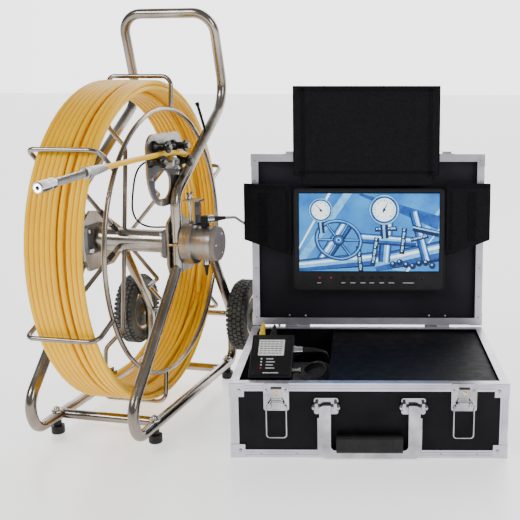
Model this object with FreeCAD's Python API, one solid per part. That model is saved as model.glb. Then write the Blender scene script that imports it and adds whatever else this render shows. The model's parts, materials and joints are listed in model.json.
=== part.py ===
"""Pipe inspection camera: a push-rod reel on a wheeled stand, and its monitor case.

Units are millimetres, +Z is up and the floor is z = 0.  The reel's axle lies along X and
its wheels are at +Y.  The case stands to the right of the reel (+X), turned CASE_YAW
degrees.  Everything is shifted at the end so that the origin is at the middle of the
bottom of the whole assembly, the cords aside.
"""
import FreeCAD, Part
import math
import os

V = FreeCAD.Vector
AX, AY, AZ = V(1, 0, 0), V(0, 1, 0), V(0, 0, 1)

# ---- driving dimensions -----------------------------------------------------
# stand
TUBE_D = 19.0            # bent stainless tube
SIDE_X = 94.0            # middle of each side frame
RAIL_Z = 32.0            # middle of the bottom rails
RAIL_REAR_Y = 240.0
FRONT_TOE_Y = -207.0
UPRIGHT_Y = -20.0
WELD_Z = 281.0           # where the front leg meets the upright
HANDLE_Z = 742.0
HANDLE_Y = 183.0
HANDLE_BENDS = (38, 62, 40, 40, 62, 38)
LOOP_BENDS = (46, 30, 26, 60)
FOOT_YS = (-142.0, 208.0)
FOOT_D = 24.0
FOOT_H = 15.0
CROSS_YS = (-128.0, 174.0)
# hub and drum
HUB_Z = 329.0
AXLE_TUBE_D, AXLE_TUBE_L = 42.0, 136.0
JOURNAL_D = 18.0
RUNNING_GAP = 0.05       # on the radius of every running fit
PLATE_X = 79.5           # inner face of the bearing plates
PLATE_T = 5.0
PLATE_OUTLINE = ((-34, 292), (-34, 366), (-8, 382), (30, 376), (128, 322), (128, 296), (70, 268), (-24, 270))
BEARING_T = 7.0
BEARING_BOLTS = [(y, HUB_Z + dz) for y in (-29, 29) for dz in (-18, 18)]
BOLT_D = 6.0
COIL_OUTER_R = 288.5
COIL_MID_X = 5.5
ROD_D = 9.0              # push rod
COIL_TURNS = 12          # side by side
COIL_LAYERS = 3
CAGE_D = 8.0             # cage rod
CAGE_R = 297.0           # where the cage bars cross the coil
CAGE_START = 22.0        # degrees, first bar
CAGE_BARS = 6
CLAMP_BAR = 4            # the bar that holds the rod's inner end
SPOKE_X = -19.0
CAGE_BACK_X = -54.0
SPOKE_STEP_R, SPOKE_FAR_R = 168.0, 205.0
RING_X = 68.5
RING_R = 238.0
# slip ring, in front of the right bearing plate
SLIP_X = 118.0           # back face of its flange
SLIP_FLANGE_R, SLIP_FLANGE_T = 39.0, 7.0
SLIP_SKIRT_R, SLIP_SKIRT_L = 36.0, 13.0
SLIP_BARREL_R, SLIP_BARREL_L = 31.0, 34.0
SLIP_CAP_T = 9.0
POST_R, POST_D = 32.5, 5.0
SOCKET_TURN = 45.0       # the lead's boot points half backwards
BOOT_TIP_D = 6.4
BRAKE_DRUM_R = 29.0
BRAKE_X = 113.0          # middle of the brake screw
# wheels
WHEEL_Y, WHEEL_Z, WHEEL_X = 246.0, 130.0, 125.0
WHEEL_R = 75.0
TYRE_W = 38.0
RIM_R = 44.0
RIM_W = 30.0
WHEEL_AXLE_D = 12.0
# guide
GUIDE_X = 80.5           # inner face of the guide plate
GUIDE_T = 4.0
GUIDE_Y0, GUIDE_Y1, GUIDE_Z0, GUIDE_Z1 = -103.0, 41.0, 400.0, 527.0
GUIDE_LOW_R, GUIDE_HIGH_R = 62.0, 26.0
GUIDE_SLOT = (-78.0, -14.0, 414.0, 462.0)
GUIDE_BOLTS = ((18.0, 452.0), (12.0, 431.0))
GUIDE_BOLT_D, GUIDE_BOLT_L = 8.0, 5.0
ROLLER_R, ROLLER_WAIST_R, ROLLER_L = 10.7, 6.5, 26.0
ROLLER_PIN_D = 6.0
ROLLER_PLACES = ((-73.0, 506.0), (2.0, 503.0), (-95.0, 482.5), (16.0, 475.5))
METER_PLACE, METER_R = (-46.0, 478.0), 11.0
ENCODER_R, ENCODER_L = 15.0, 16.0
# case
CASE_X, CASE_Y, CASE_YAW = 469.0, -122.0, 12.6
CASE_W, CASE_D, BASE_H, LID_T = 460.0, 340.0, 131.0, 52.0
TRIM_W, TRIM_T, WALL = 14.0, 1.4, 6.0
CAP_REACH, CAP_SKIN = 25.0, 1.2
RIM_GAP = 0.5            # between the rims of the lid and the base
LID_LEAN = 5.0           # degrees past upright
DECK_A, DECK_H, DECK_T = -68.0, 121.0, 4.0
HINGE_GAP = 3.0          # hinge pin's distance behind the rear rim
HINGE_AS = (-140.0, 140.0)
HINGE_HALF = 25.0
KNUCKLE_R, HINGE_PIN_R, LEAF_T = 3.0, 1.5, 1.5
LATCH_AS = (-153.0, 156.0)
LATCH_B, LATCH_H = -5.0, 93.0        # pivot of the latches' bails
BAIL_D, BAIL_HALF, BAIL_LOW = 2.5, 16.5, 38.0
BRACKET_AS = (-71.0, 73.0)
PIVOT_B, PIVOT_H = -7.0, 92.0        # pivot of the carrying handle
HANDLE_HALF = 86.0
# control box in the base's open compartment, tilted up towards the back
CONTROL_TILT = 29.0
CONTROL_W, CONTROL_L, CONTROL_T = 72.0, 100.0, 34.0
CONTROL_A, CONTROL_B, CONTROL_H = -202.0, 20.0, 134.0
# monitor, in the lid's own frame
MON_A, MON_W, MON_H0, MON_H = 3.0, 300.0, 74.0, 203.0
MON_FRONT, MON_BACK = -12.0, 14.0
SCREEN_W, SCREEN_H, SCREEN_H0 = 277.0, 154.0, 113.0
SCREEN_DEEP, SCREEN_T = 1.5, 2.5
BUTTON_H, BUTTON_TURN = 100.0, 35.0
BUTTON_AS = (-48.0, -29.0, -10.0, 9.0, 28.0, 47.0)
BUTTON_HALF_W, BUTTON_HALF_H, BUTTON_GAP = 4.0, 3.0, 0.3
FLAP_T, FLAP_Y = 4.0, -18.0
FLAP_TOP = ((-132, 283), (-132, 300), (-146, 302), (-146, 474),
            (140, 474), (140, 302), (128, 300), (128, 283))
FLAP_LEFT = ((-149, 282), (-243, 287), (-243, 176), (-150, 144))
FLAP_RIGHT = ((155, 144), (240, 176), (240, 287), (154, 286))
# push rod's free end
TAIL_ROUTE = (V(30, 219, 181), V(30, 240, 243), V(31, 240, 308), V(31, 222, 368), V(34, 186, 415),
              V(44, 145, 446), V(60, 104, 466), V(79, 70, 477), V(92, 38, 485), V(97, 3, 490.6),
              V(99, -46, 493.9), V(99.5, -96, 494), V(98, -150, 493.2), V(95, -205, 491.6), V(90, -258, 489))
HEAD_DIR = V(-7, -55, -5).normalize()
BOOT_L, FITTING_L, SPRING_L, HEAD_L = 38.0, 13.0, 68.0, 36.0
# link lead, from the slip ring to its coiled length on the floor
LEAD_D = 5.0
LINK_ROUTE = (V(168.6, 27.6, 372), V(174, 33, 371.8), V(177, 41.5, 370.8), V(176.5, 54, 369),
              V(172.5, 71, 366), V(167, 92, 361), V(160, 118, 355), V(154, 144, 348), V(153.5, 171, 339),
              V(151.5, 197, 326), V(147.5, 224, 306), V(149, 250, 279), V(156, 268, 247), V(166, 276, 212),
              V(177, 277, 176), V(186, 273, 140), V(192, 267, 105), V(196, 260, 72), V(200, 252, 44),
              V(207, 246, 23), V(218, 242, 10), V(232, 240.5, 4.4), V(246, 240, 2.8), V(256, 240, 2.6))
LEAD_COIL_AT = V(262, 268, 0)
LEAD_COIL_R = 28.0       # middle of its turns
LEAD_COIL_ROWS = 4       # two turns side by side in each
# encoder lead, from the encoder to the bearing plate
ENCODER_LEAD_D = 3.4
ENCODER_ROUTE = (V(61, -46, 478), V(53, -46, 477), V(46, -49, 472), V(42, -56, 464), V(42, -67, 452),
                 V(44, -78, 437), V(44, -84, 418), V(41, -81, 399), V(40, -71, 382), V(44, -58, 370),
                 V(52, -46, 363), V(61, -35, 360.5), V(70.5, -27.5, 360), V(79.5, -25.5, 360))
CORD_NODES = ("push_rod_coil", "push_rod_tail", "rod_fitting", "camera_spring", "camera_head",
              "link_lead", "link_lead_coil", "link_plug", "encoder_lead")

pieces = {}
radii_log = []


def add(name, *solids):
    """Keep one node: a single solid, or several separate ones as a group."""
    pieces[name] = solids[0] if len(solids) == 1 else Part.makeCompound(list(solids))


def cyl(base, axis, radius, length):
    return Part.makeCylinder(radius, length, base, axis)


def box(x0, x1, y0, y1, z0, z1):
    return Part.makeBox(x1 - x0, y1 - y0, z1 - z0, V(x0, y0, z0))


def edges_along(shape, axis, low=-1e6, high=1e6):
    """Straight edges that run along one axis, between two heights."""
    edges = []
    for edge in shape.Edges:
        run = edge.Vertexes[-1].Point - edge.Vertexes[0].Point
        if run.Length > 0.1 and abs(run.normalize().dot(axis)) > 0.999:
            if low < edge.CenterOfMass.z < high:
                edges.append(edge)
    return edges


def rounded_edges(shape, radius, axis):
    return shape.makeFillet(radius, edges_along(shape, axis))


def plate_yz(outline, x, thickness):
    """Flat plate across X from an outline of (y, z) points."""
    points = [V(x, y, z) for y, z in outline]
    return Part.Face(Part.makePolygon(points + points[:1])).extrude(V(thickness, 0, 0))


def revolve_x(profile, centre):
    """Turn a closed outline of (x, radius) points about the X axis through centre."""
    points = [V(x, 0, r) for x, r in profile]
    solid = Part.Face(Part.makePolygon(points + points[:1])).revolve(V(0, 0, 0), AX, 360)
    solid.translate(centre)
    return solid


def fuse(first, *rest):
    return first.multiFuse(list(rest)).removeSplitter()


def biggest(shape):
    return max(shape.Solids, key=lambda s: s.Volume)


def bent_wire(points, radii):
    """Straight runs joined by tangent arcs of the given radii."""
    edges = []
    start = points[0]
    for before, corner, after, radius in zip(points, points[1:], points[2:], radii):
        d_in = (corner - before).normalize()
        d_out = (after - corner).normalize()
        half = d_in.getAngle(d_out) / 2
        back = radius * math.tan(half)
        p_in, p_out = corner - d_in * back, corner + d_out * back
        inward = (d_out - d_in).normalize()
        centre = corner + inward * (radius / math.cos(half))
        middle = centre - inward * radius
        edges.append(Part.LineSegment(start, p_in).toShape())
        edges.append(Part.Arc(p_in, middle, p_out).toShape())
        start = p_out
    edges.append(Part.LineSegment(start, points[-1]).toShape())
    return Part.Wire(edges)


def bent_tube(points, diameter, radii):
    wire = bent_wire(points, radii)
    circle = Part.Wire(Part.Circle(points[0], points[1] - points[0], diameter / 2).toShape())
    return wire.makePipeShell([circle], True, False), wire


def cord_tube(name, points, diameter):
    """A cord's free stretch: each arc is as large as its two runs allow."""
    radii = []
    for before, corner, after in zip(points, points[1:], points[2:]):
        run_in, run_out = corner - before, after - corner
        half = run_in.getAngle(run_out) / 2
        radii.append(0.45 * min(run_in.Length, run_out.Length) / math.tan(half))
    solid, wire = bent_tube(points, diameter, radii)
    whole = math.pi * diameter ** 2 / 4 * wire.Length
    radii_log.append((name, [round(r) for r in radii], wire.Length, solid.Volume / whole))
    return solid


def in_case(shape):
    """From the case's frame (width, depth from the front, height) to the model's."""
    moved = shape.copy()
    moved.rotate(V(0, 0, 0), AZ, CASE_YAW)
    moved.translate(V(CASE_X, CASE_Y, 0))
    return moved


def in_lid(shape):
    """From the open lid's frame (width, backwards, along the lid from the hinge pin)."""
    moved = shape.copy()
    moved.rotate(V(0, 0, 0), AX, -LID_LEAN)
    moved.translate(V(0, CASE_D + HINGE_GAP, BASE_H))
    return in_case(moved)


def tilted(shape):
    """From the control box's frame, whose top face is z = 0 and front edge y = 0."""
    moved = shape.copy()
    moved.rotate(V(0, 0, 0), AX, CONTROL_TILT)
    moved.translate(V(CONTROL_A, CONTROL_B, CONTROL_H))
    return in_case(moved)


# ---- stand ------------------------------------------------------------------
def handle_tube():
    """Both uprights and the high handle, bent from one tube."""
    side = [V(SIDE_X, UPRIGHT_Y, WELD_Z), V(SIDE_X, UPRIGHT_Y, 417), V(SIDE_X, 235, 579),
            V(SIDE_X, HANDLE_Y, HANDLE_Z)]
    mirrored = [V(-p.x, p.y, p.z) for p in reversed(side)]
    return bent_tube(side + mirrored, TUBE_D, HANDLE_BENDS)[0]


def side_loop(x, upright):
    """Front leg, bottom rail and wheel stay, bent from one tube."""
    points = [V(x, UPRIGHT_Y - 6, WELD_Z + 4), V(x, -227, 84), V(x, FRONT_TOE_Y, RAIL_Z),
              V(x, RAIL_REAR_Y, RAIL_Z), V(x, RAIL_REAR_Y + 3, 134), V(x, 117, 316)]
    loop = bent_tube(points, TUBE_D, LOOP_BENDS)[0]
    axle_hole = cyl(V(x - TUBE_D, WHEEL_Y, WHEEL_Z), AX, WHEEL_AXLE_D / 2, 2 * TUBE_D)
    return biggest(loop.cut(upright).cut(axle_hole))


def cross_tubes():
    """Two tubes between the bottom rails, and the wheels' axle."""
    inner = SIDE_X - TUBE_D / 2
    rails = [cyl(V(s * SIDE_X, -300, RAIL_Z), AY, TUBE_D / 2, 600) for s in (-1, 1)]
    tubes = []
    for y in CROSS_YS:
        tube = cyl(V(-inner - 2, y, RAIL_Z), AX, TUBE_D / 2 - 1, 2 * inner + 4)
        tubes.append(tube.cut(rails[0]).cut(rails[1]))
    axle_half = WHEEL_X + TYRE_W / 2 + 2
    tubes.append(cyl(V(-axle_half, WHEEL_Y, WHEEL_Z), AX, WHEEL_AXLE_D / 2, 2 * axle_half))
    return tubes


def bearing_plate(side):
    plate = rounded_edges(plate_yz(PLATE_OUTLINE, 0, PLATE_T), 8, AX)
    plate = plate.cut(cyl(V(-1, 0, HUB_Z), AX, JOURNAL_D / 2 + 2, PLATE_T + 2))
    for y, z in BEARING_BOLTS:
        plate = plate.cut(cyl(V(-1, y, z), AX, BOLT_D / 2, PLATE_T + 2))
    plate.translate(V(PLATE_X if side > 0 else -PLATE_X - PLATE_T, 0, 0))
    return plate


def drum_bearing(side):
    """Flange bearing housing on the inner face of a bearing plate."""
    flange = rounded_edges(box(0, BEARING_T, -37, 37, HUB_Z - 26, HUB_Z + 26), 10, AX)
    boss = cyl(V(-2.5, 0, HUB_Z), AX, 22, BEARING_T + 2.5)
    housing = fuse(flange, boss)
    housing = housing.cut(cyl(V(-4, 0, HUB_Z), AX, JOURNAL_D / 2 + RUNNING_GAP, 14))
    for y, z in BEARING_BOLTS:
        housing = housing.cut(cyl(V(-1, y, z), AX, BOLT_D / 2, BEARING_T + 2))
    if side < 0:
        housing = housing.mirror(V(0, 0, 0), AX)
    housing.translate(V(side * (PLATE_X - BEARING_T), 0, 0))
    return housing


def hex_head(base, axis, across, height):
    corners = [math.radians(60 * i) for i in range(7)]
    ring = [V(math.cos(a), math.sin(a), 0) * (across / math.sqrt(3)) for a in corners]
    head = Part.Face(Part.makePolygon(ring)).extrude(V(0, 0, height))
    head.Placement = FreeCAD.Placement(base, FreeCAD.Rotation(AZ, axis))
    return head


def bearing_bolt(side, y, z):
    """Bolt with a nut outside, or screwed into the plate where the upright is in the way."""
    out = V(side, 0, 0)
    inner = V(side * (PLATE_X - BEARING_T), y, z)
    outer = V(side * (PLATE_X + PLATE_T), y, z)
    shank = cyl(inner, out, BOLT_D / 2, BEARING_T + PLATE_T)
    bolt = fuse(shank, hex_head(inner, out * -1, 10, 4.5))
    return bolt if y < 0 else fuse(bolt, hex_head(outer, out, 10, 5))


def foot_nut(side, y):
    base = V(side * SIDE_X, y, RAIL_Z + TUBE_D / 2 - 2)
    nut = fuse(cyl(base, AZ, 6, 5.4), Part.makeSphere(6, base + V(0, 0, 5.4)))
    return nut.cut(cyl(V(side * SIDE_X, y - 40, RAIL_Z), AY, TUBE_D / 2, 80))


def stand_fasteners():
    group = []
    for side in (-1, 1):
        group += [bearing_bolt(side, y, z) for y, z in BEARING_BOLTS]
        group += [foot_nut(side, y) for y in FOOT_YS]
        cap_x = side * (WHEEL_X + TYRE_W / 2 + 2)
        group.append(cyl(V(cap_x, WHEEL_Y, WHEEL_Z), V(side, 0, 0), 10, 6))
    for y, z in ((POST_R, 0), (-POST_R, 0), (0, -POST_R)):
        post = cyl(V(PLATE_X + PLATE_T, y, HUB_Z + z), AX, POST_D / 2, SLIP_X - PLATE_X - PLATE_T)
        group.append(post)
    for y, z in GUIDE_BOLTS:
        group.append(cyl(V(GUIDE_X - GUIDE_BOLT_L, y, z), AX, GUIDE_BOLT_D / 2, GUIDE_BOLT_L))
    return group


def rubber_foot(x, y):
    low = RAIL_Z - TUBE_D / 2
    foot = cyl(V(x, y, 0), AZ, FOOT_D / 2, FOOT_H)
    foot = foot.makeFillet(3, [e for e in foot.Edges if abs(e.BoundBox.ZMax) < 0.1])
    neck = cyl(V(x, y, FOOT_H), AZ, 7, low + 3 - FOOT_H)
    return fuse(foot, neck).cut(cyl(V(x, y - 40, RAIL_Z), AY, TUBE_D / 2, 80))


# ---- slip ring and brake ----------------------------------------------------
def slip_ring_body():
    """Flange with a slotted skirt over the brake drum behind it, and a barrel in front."""
    centre = V(SLIP_X, 0, HUB_Z)
    flange = cyl(centre, AX, SLIP_FLANGE_R, SLIP_FLANGE_T)
    skirt = cyl(centre, AX * -1, SLIP_FLANGE_R, SLIP_SKIRT_L)
    skirt = skirt.cut(cyl(centre, AX * -1, SLIP_SKIRT_R, SLIP_SKIRT_L + 1))
    skirt = skirt.cut(box(SLIP_X - 18, SLIP_X, -12, 12, HUB_Z + 20, HUB_Z + 45))
    barrel = cyl(centre, AX, SLIP_BARREL_R, SLIP_FLANGE_T + SLIP_BARREL_L)
    collar = cyl(V(SLIP_X + 38, 0, HUB_Z), AX, SLIP_BARREL_R + 1, 3)
    body = fuse(flange, skirt, barrel, collar)
    return body.cut(cyl(V(SLIP_X - 1, 0, HUB_Z), AX, JOURNAL_D / 2 + 2 * RUNNING_GAP, 24))


def slip_ring_cap():
    back = SLIP_X + SLIP_FLANGE_T + SLIP_BARREL_L
    cap = cyl(V(back, 0, HUB_Z), AX, SLIP_BARREL_R, SLIP_CAP_T)
    return cap.makeFillet(2, [e for e in cap.Edges if e.BoundBox.XMin > back + SLIP_CAP_T - 1])


def slip_ring_sockets():
    """Side socket with the lead's plug and boot on top, and a cable gland below."""
    foot = V(141, 0, HUB_Z)
    turn = math.radians(SOCKET_TURN)
    out = V(math.cos(turn), math.sin(turn), 0)
    block = box(foot.x - 5, foot.x + 5, -8, 8, HUB_Z + 30, HUB_Z + 50)
    block = block.cut(cyl(V(SLIP_X, 0, HUB_Z), AX, SLIP_BARREL_R, 38))
    block = block.cut(cyl(V(SLIP_X + 38, 0, HUB_Z), AX, SLIP_BARREL_R + 1, 20))
    nut = cyl(foot + V(0, 0, 43), out, 6, 16)
    boot = Part.makeCone(5.5, BOOT_TIP_D / 2, 23, foot + V(0, 0, 43) + out * 16, out)
    gland = cyl(foot - V(0, 0, SLIP_BARREL_R), AZ * -1, 5, 12)
    tail = Part.makeCone(4, 2, 16, foot - V(0, 0, SLIP_BARREL_R + 12), AZ * -1)
    return fuse(block, nut, boot), fuse(gland, tail)


def brake_bracket():
    """Saddle on the flange with a slotted web and the shelf that holds the brake screw."""
    shelf = box(104.5, 136, -13, 13, HUB_Z + 76, HUB_Z + 79)
    shelf = shelf.cut(cyl(V(BRAKE_X, 0, HUB_Z), AZ, 3.0, 100))
    web = box(125, 128, -13, 13, HUB_Z + 36, HUB_Z + 76)
    for y in (-9, -1.5, 6):
        web = web.cut(box(124, 129, y, y + 4, HUB_Z + 50, HUB_Z + 66))
    saddle = cyl(V(119, 0, HUB_Z), AX, SLIP_FLANGE_R + 3, 6)
    saddle = saddle.cut(cyl(V(118, 0, HUB_Z), AX, SLIP_FLANGE_R, 8))
    saddle = saddle.common(box(118, 126, -20, 20, HUB_Z, HUB_Z + 60))
    barrel = cyl(V(SLIP_X + SLIP_FLANGE_T, 0, HUB_Z), AX, SLIP_BARREL_R, 36)
    return biggest(fuse(shelf, web, saddle).cut(barrel))


def brake_screw():
    """Wing screw whose tip stands just off the brake drum."""
    stem = cyl(V(BRAKE_X, 0, HUB_Z + BRAKE_DRUM_R + 0.3), AZ, 2.75, 56)
    hub = cyl(V(BRAKE_X, 0, HUB_Z + 79.3), AZ, 5, 8)
    wings = [cyl(V(BRAKE_X, s * 3, HUB_Z + 84), V(0, s, 1), 2.2, 9) for s in (-1, 1)]
    return fuse(stem, hub, *wings)


# ---- guide ------------------------------------------------------------------
def guide_plate():
    """Plate with a long slot, and the pins that the rollers turn on."""
    middle = (GUIDE_Z0 + GUIDE_Z1) / 2
    plate = box(GUIDE_X, GUIDE_X + GUIDE_T, GUIDE_Y0, GUIDE_Y1, GUIDE_Z0, GUIDE_Z1)
    plate = plate.makeFillet(GUIDE_LOW_R, edges_along(plate, AX, high=middle))
    plate = plate.makeFillet(GUIDE_HIGH_R, edges_along(plate, AX, low=GUIDE_Z1 - 1))
    y0, y1, z0, z1 = GUIDE_SLOT
    plate = plate.cut(rounded_edges(box(GUIDE_X - 1, GUIDE_X + GUIDE_T + 1, y0, y1, z0, z1), 23, AX))
    front = GUIDE_X + GUIDE_T
    pins = []
    for y, z in ROLLER_PLACES + (METER_PLACE,):
        pins.append(cyl(V(front, y, z), AX, ROLLER_PIN_D / 2, ROLLER_L + 2.5))
        pins.append(cyl(V(front + ROLLER_L + 1, y, z), AX, 4.5, 3.5))
    return fuse(plate, *pins)


def bobbin(y, z):
    """Waisted roller running on its pin."""
    bore = ROLLER_PIN_D / 2 + RUNNING_GAP
    profile = [(0, bore), (0, ROLLER_R), (3, ROLLER_R), (8, ROLLER_WAIST_R),
               (ROLLER_L - 8, ROLLER_WAIST_R), (ROLLER_L - 3, ROLLER_R), (ROLLER_L, ROLLER_R),
               (ROLLER_L, bore)]
    return revolve_x(profile, V(GUIDE_X + GUIDE_T + 0.5, y, z))


def measuring_wheel():
    bore = ROLLER_PIN_D / 2 + RUNNING_GAP
    profile = [(0, bore), (0, METER_R - 2), (2, METER_R), (ROLLER_L - 2, METER_R),
               (ROLLER_L, METER_R - 2), (ROLLER_L, bore)]
    return revolve_x(profile, V(GUIDE_X + GUIDE_T + 0.5, *METER_PLACE))


def encoder_body():
    centre = V(GUIDE_X, *METER_PLACE)
    can = cyl(centre, AX * -1, ENCODER_R, ENCODER_L)
    return fuse(can, cyl(centre, AX * -1, 9, ENCODER_L + 3.5))


# ---- drum -------------------------------------------------------------------
def drum_axle():
    """Thick tube between the bearings, its shaft, and the brake drum on the shaft's end."""
    tube = cyl(V(-AXLE_TUBE_L / 2, 0, HUB_Z), AX, AXLE_TUBE_D / 2, AXLE_TUBE_L)
    shaft = cyl(V(-88, 0, HUB_Z), AX, JOURNAL_D / 2, 88 + SLIP_X + 20)
    brake_drum = cyl(V(SLIP_X - 12, 0, HUB_Z), AX, BRAKE_DRUM_R, 10)
    return fuse(tube, shaft, brake_drum)


def on_drum(shape, angle):
    """Turn a piece made on the +Z side of the axis to its angle, and lift it to the hub."""
    shape.rotate(V(0, 0, 0), AX, angle - 90)
    shape.translate(V(0, 0, HUB_Z))
    return shape


def cage_bar(angle):
    """Spoke, step to the far side, hoop over the coil and down to the near ring."""
    path = [(SPOKE_X, AXLE_TUBE_D / 2 - 1), (SPOKE_X, SPOKE_STEP_R), (CAGE_BACK_X, SPOKE_FAR_R),
            (CAGE_BACK_X, CAGE_R), (RING_X, CAGE_R), (RING_X, RING_R + 2)]
    bar = bent_tube([V(x, 0, r) for x, r in path], CAGE_D, [20, 20, 11, 18])[0]
    bar = biggest(bar.cut(cyl(V(-AXLE_TUBE_L / 2, 0, 0), AX, AXLE_TUBE_D / 2, AXLE_TUBE_L)))
    bar = biggest(bar.cut(Part.makeTorus(RING_R, CAGE_D / 2, V(RING_X, 0, 0), AX)))
    return on_drum(bar, angle)


def rod_clamp(angle):
    """Saddle with two nuts that holds the push rod's inner end to one cage bar."""
    saddle = box(-49.5, -35, -9, 9, 246, 254)
    nuts = [cyl(V(-42, y, 240), AZ, 2.5, 18) for y in (-5, 5)]
    return on_drum(fuse(saddle, *nuts), angle)


def cage_bars():
    angles = [CAGE_START + 360 / CAGE_BARS * i for i in range(CAGE_BARS)]
    return [cage_bar(a) for a in angles] + [rod_clamp(angles[CLAMP_BAR])]


def near_ring():
    return Part.makeTorus(RING_R, CAGE_D / 2, V(RING_X, 0, HUB_Z), AX)


def push_rod_coil(room=0.0):
    """Outer shape of the coiled push rod, with room added inside it and at its ends."""
    half = COIL_TURNS * ROD_D / 2 + room
    inner = COIL_OUTER_R - COIL_LAYERS * ROD_D - room
    profile = [(COIL_MID_X - half, inner), (COIL_MID_X - half, COIL_OUTER_R),
               (COIL_MID_X + half, COIL_OUTER_R), (COIL_MID_X + half, inner)]
    return revolve_x(profile, V(0, 0, HUB_Z))


# ---- push rod's free end ----------------------------------------------------
def rod_fitting():
    start = TAIL_ROUTE[-1]
    boot = Part.makeCone(6.2, 8.2, BOOT_L, start, HEAD_DIR)
    return fuse(boot, cyl(start + HEAD_DIR * BOOT_L, HEAD_DIR, 9, FITTING_L))


def camera_spring():
    return cyl(TAIL_ROUTE[-1] + HEAD_DIR * (BOOT_L + FITTING_L), HEAD_DIR, 6.2, SPRING_L)


def camera_head():
    back = BOOT_L + FITTING_L + SPRING_L
    return cyl(TAIL_ROUTE[-1] + HEAD_DIR * back, HEAD_DIR, 8.5, HEAD_L)


# ---- wheels -----------------------------------------------------------------
def tyre(side):
    half, crown = TYRE_W / 2, WHEEL_R
    profile = [(-half + 4, RIM_R), (-half, RIM_R + 7), (-half, crown - 14), (-half + 6, crown - 3),
               (-half + 12, crown), (half - 12, crown), (half - 6, crown - 3), (half, crown - 14),
               (half, RIM_R + 7), (half - 4, RIM_R)]
    return revolve_x(profile, V(side * WHEEL_X, WHEEL_Y, WHEEL_Z))


def rim(side):
    bore = WHEEL_AXLE_D / 2 + RUNNING_GAP
    half = RIM_W / 2
    profile = [(-half - 5, bore), (-half - 5, 13), (-6, 13), (-5, 36), (-half, 38), (-half, RIM_R),
               (half, RIM_R), (half, 38), (-1, 36), (-2, 13), (half + 5, 13), (half + 5, bore)]
    return revolve_x(profile, V(side * WHEEL_X, WHEEL_Y, WHEEL_Z))


# ---- case -------------------------------------------------------------------
def edge_frame(x0, x1, y0, y1, z0, z1):
    """L-section trim on all twelve edges of a box."""
    t, w = TRIM_T, TRIM_W
    frame = box(x0, x1, y0, y1, z0, z1).cut(box(x0 + t, x1 - t, y0 + t, y1 - t, z0 + t, z1 - t))
    frame = frame.cut(box(x0 - 9, x1 + 9, y0 + w, y1 - w, z0 + w, z1 - w))
    frame = frame.cut(box(x0 + w, x1 - w, y0 - 9, y1 + 9, z0 + w, z1 - w))
    return frame.cut(box(x0 + w, x1 - w, y0 + w, y1 - w, z0 - 9, z1 + 9))


def corner_cap(corner, signs, open_side):
    """Pressed corner over the trim, with rounded outer edges; cut flush at the rim."""
    outer = box(0, CAP_REACH, 0, CAP_REACH, 0, CAP_REACH)
    outer = outer.makeFillet(2.5, [e for e in outer.Edges if e.CenterOfMass.Length < CAP_REACH / 2 + 1])
    far = CAP_REACH + 1
    cap = outer.cut(box(CAP_SKIN, far, CAP_SKIN, far, CAP_SKIN, far))
    for sign, axis in zip(signs, (AX, AY, AZ)):
        if sign < 0:
            cap = cap.mirror(V(0, 0, 0), axis)
    cap.translate(corner - V(*signs) * CAP_SKIN)
    return cap.cut(open_side)


def box_trim(x0, x1, y0, y1, z0, z1, open_side):
    """Edge trim with a cap on each of the eight corners."""
    solids = [edge_frame(x0, x1, y0, y1, z0, z1)]
    for x, sx in ((x0, 1), (x1, -1)):
        for y, sy in ((y0, 1), (y1, -1)):
            for z, sz in ((z0, 1), (z1, -1)):
                solids.append(corner_cap(V(x, y, z), (sx, sy, sz), open_side))
    return solids


def base_shell():
    t = TRIM_T
    half = CASE_W / 2 - t
    outer = box(-half, half, t, CASE_D - t, t, BASE_H - t)
    return outer.cut(box(-half + WALL, half - WALL, t + WALL, CASE_D - t - WALL, t + WALL, BASE_H))


def base_trim():
    half = CASE_W / 2
    above = box(-half - 9, half + 9, -9, CASE_D + 9, BASE_H, BASE_H + 9)
    below = box(-half - 9, half + 9, -9, CASE_D + 9, -9, 0)
    return [s.cut(below) for s in box_trim(-half, half, 0, CASE_D, 0, BASE_H, above)]


def deck_panel():
    """Cover over the right part of the base, with the wall down its left edge."""
    inner = CASE_W / 2 - TRIM_T - WALL
    low = TRIM_T + WALL
    top = box(DECK_A, inner, low, CASE_D - low, DECK_H, DECK_H + DECK_T)
    return fuse(top, box(DECK_A, DECK_A + DECK_T, low, CASE_D - low, low, DECK_H))


def control_box():
    shell = box(0, CONTROL_W, 0, CONTROL_L, -CONTROL_T, 0)
    return shell.makeFillet(2.5, shell.Edges)


def control_stand():
    """Bracket under the control box, on the floor of the compartment."""
    low = TRIM_T + WALL
    post = in_case(box(CONTROL_A + 8, CONTROL_A + CONTROL_W - 8, 70, 110, low, BASE_H + 40))
    return post.cut(tilted(box(-9, CONTROL_W + 9, -9, CONTROL_L + 9, -CONTROL_T, 90)))


def battery_pack():
    return box(-40, 90, 60, 200, TRIM_T + WALL, 78)


def power_switch():
    """Toggle on the control box's right side."""
    x0 = CONTROL_W + 0.4
    return fuse(cyl(V(x0, 30, -16), AX, 3, 11), cyl(V(x0 + 11, 30, -16), AX, 5, 3))


def latch_plate(a):
    """Back plate, keeper and the two lugs that hold the bail."""
    plate = rounded_edges(box(a - 21, a + 21, -2, 0, 84, BASE_H), 4, AY)
    keeper = rounded_edges(box(a - 9, a + 9, -7, -2, 106, 124), 2, AX)
    lugs = [box(a + s * 11 - 3, a + s * 11 + 3, -8, -2, 88, 98) for s in (-1, 1)]
    pivot = cyl(V(a - 25, LATCH_B, LATCH_H), AX, BAIL_D / 2 + 0.07, 50)
    return fuse(plate, keeper, *lugs).cut(pivot)


def handle_bracket(a):
    plate = rounded_edges(box(a - 20, a + 20, -2, 0, 78, 106), 4, AY)
    ears = [box(a + s * 15.5 - 2.5, a + s * 15.5 + 2.5, -13, -2, 84, 100) for s in (-1, 1)]
    return fuse(plate, *ears).cut(cyl(V(a - 25, PIVOT_B, PIVOT_H), AX, 2.1, 50))


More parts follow.
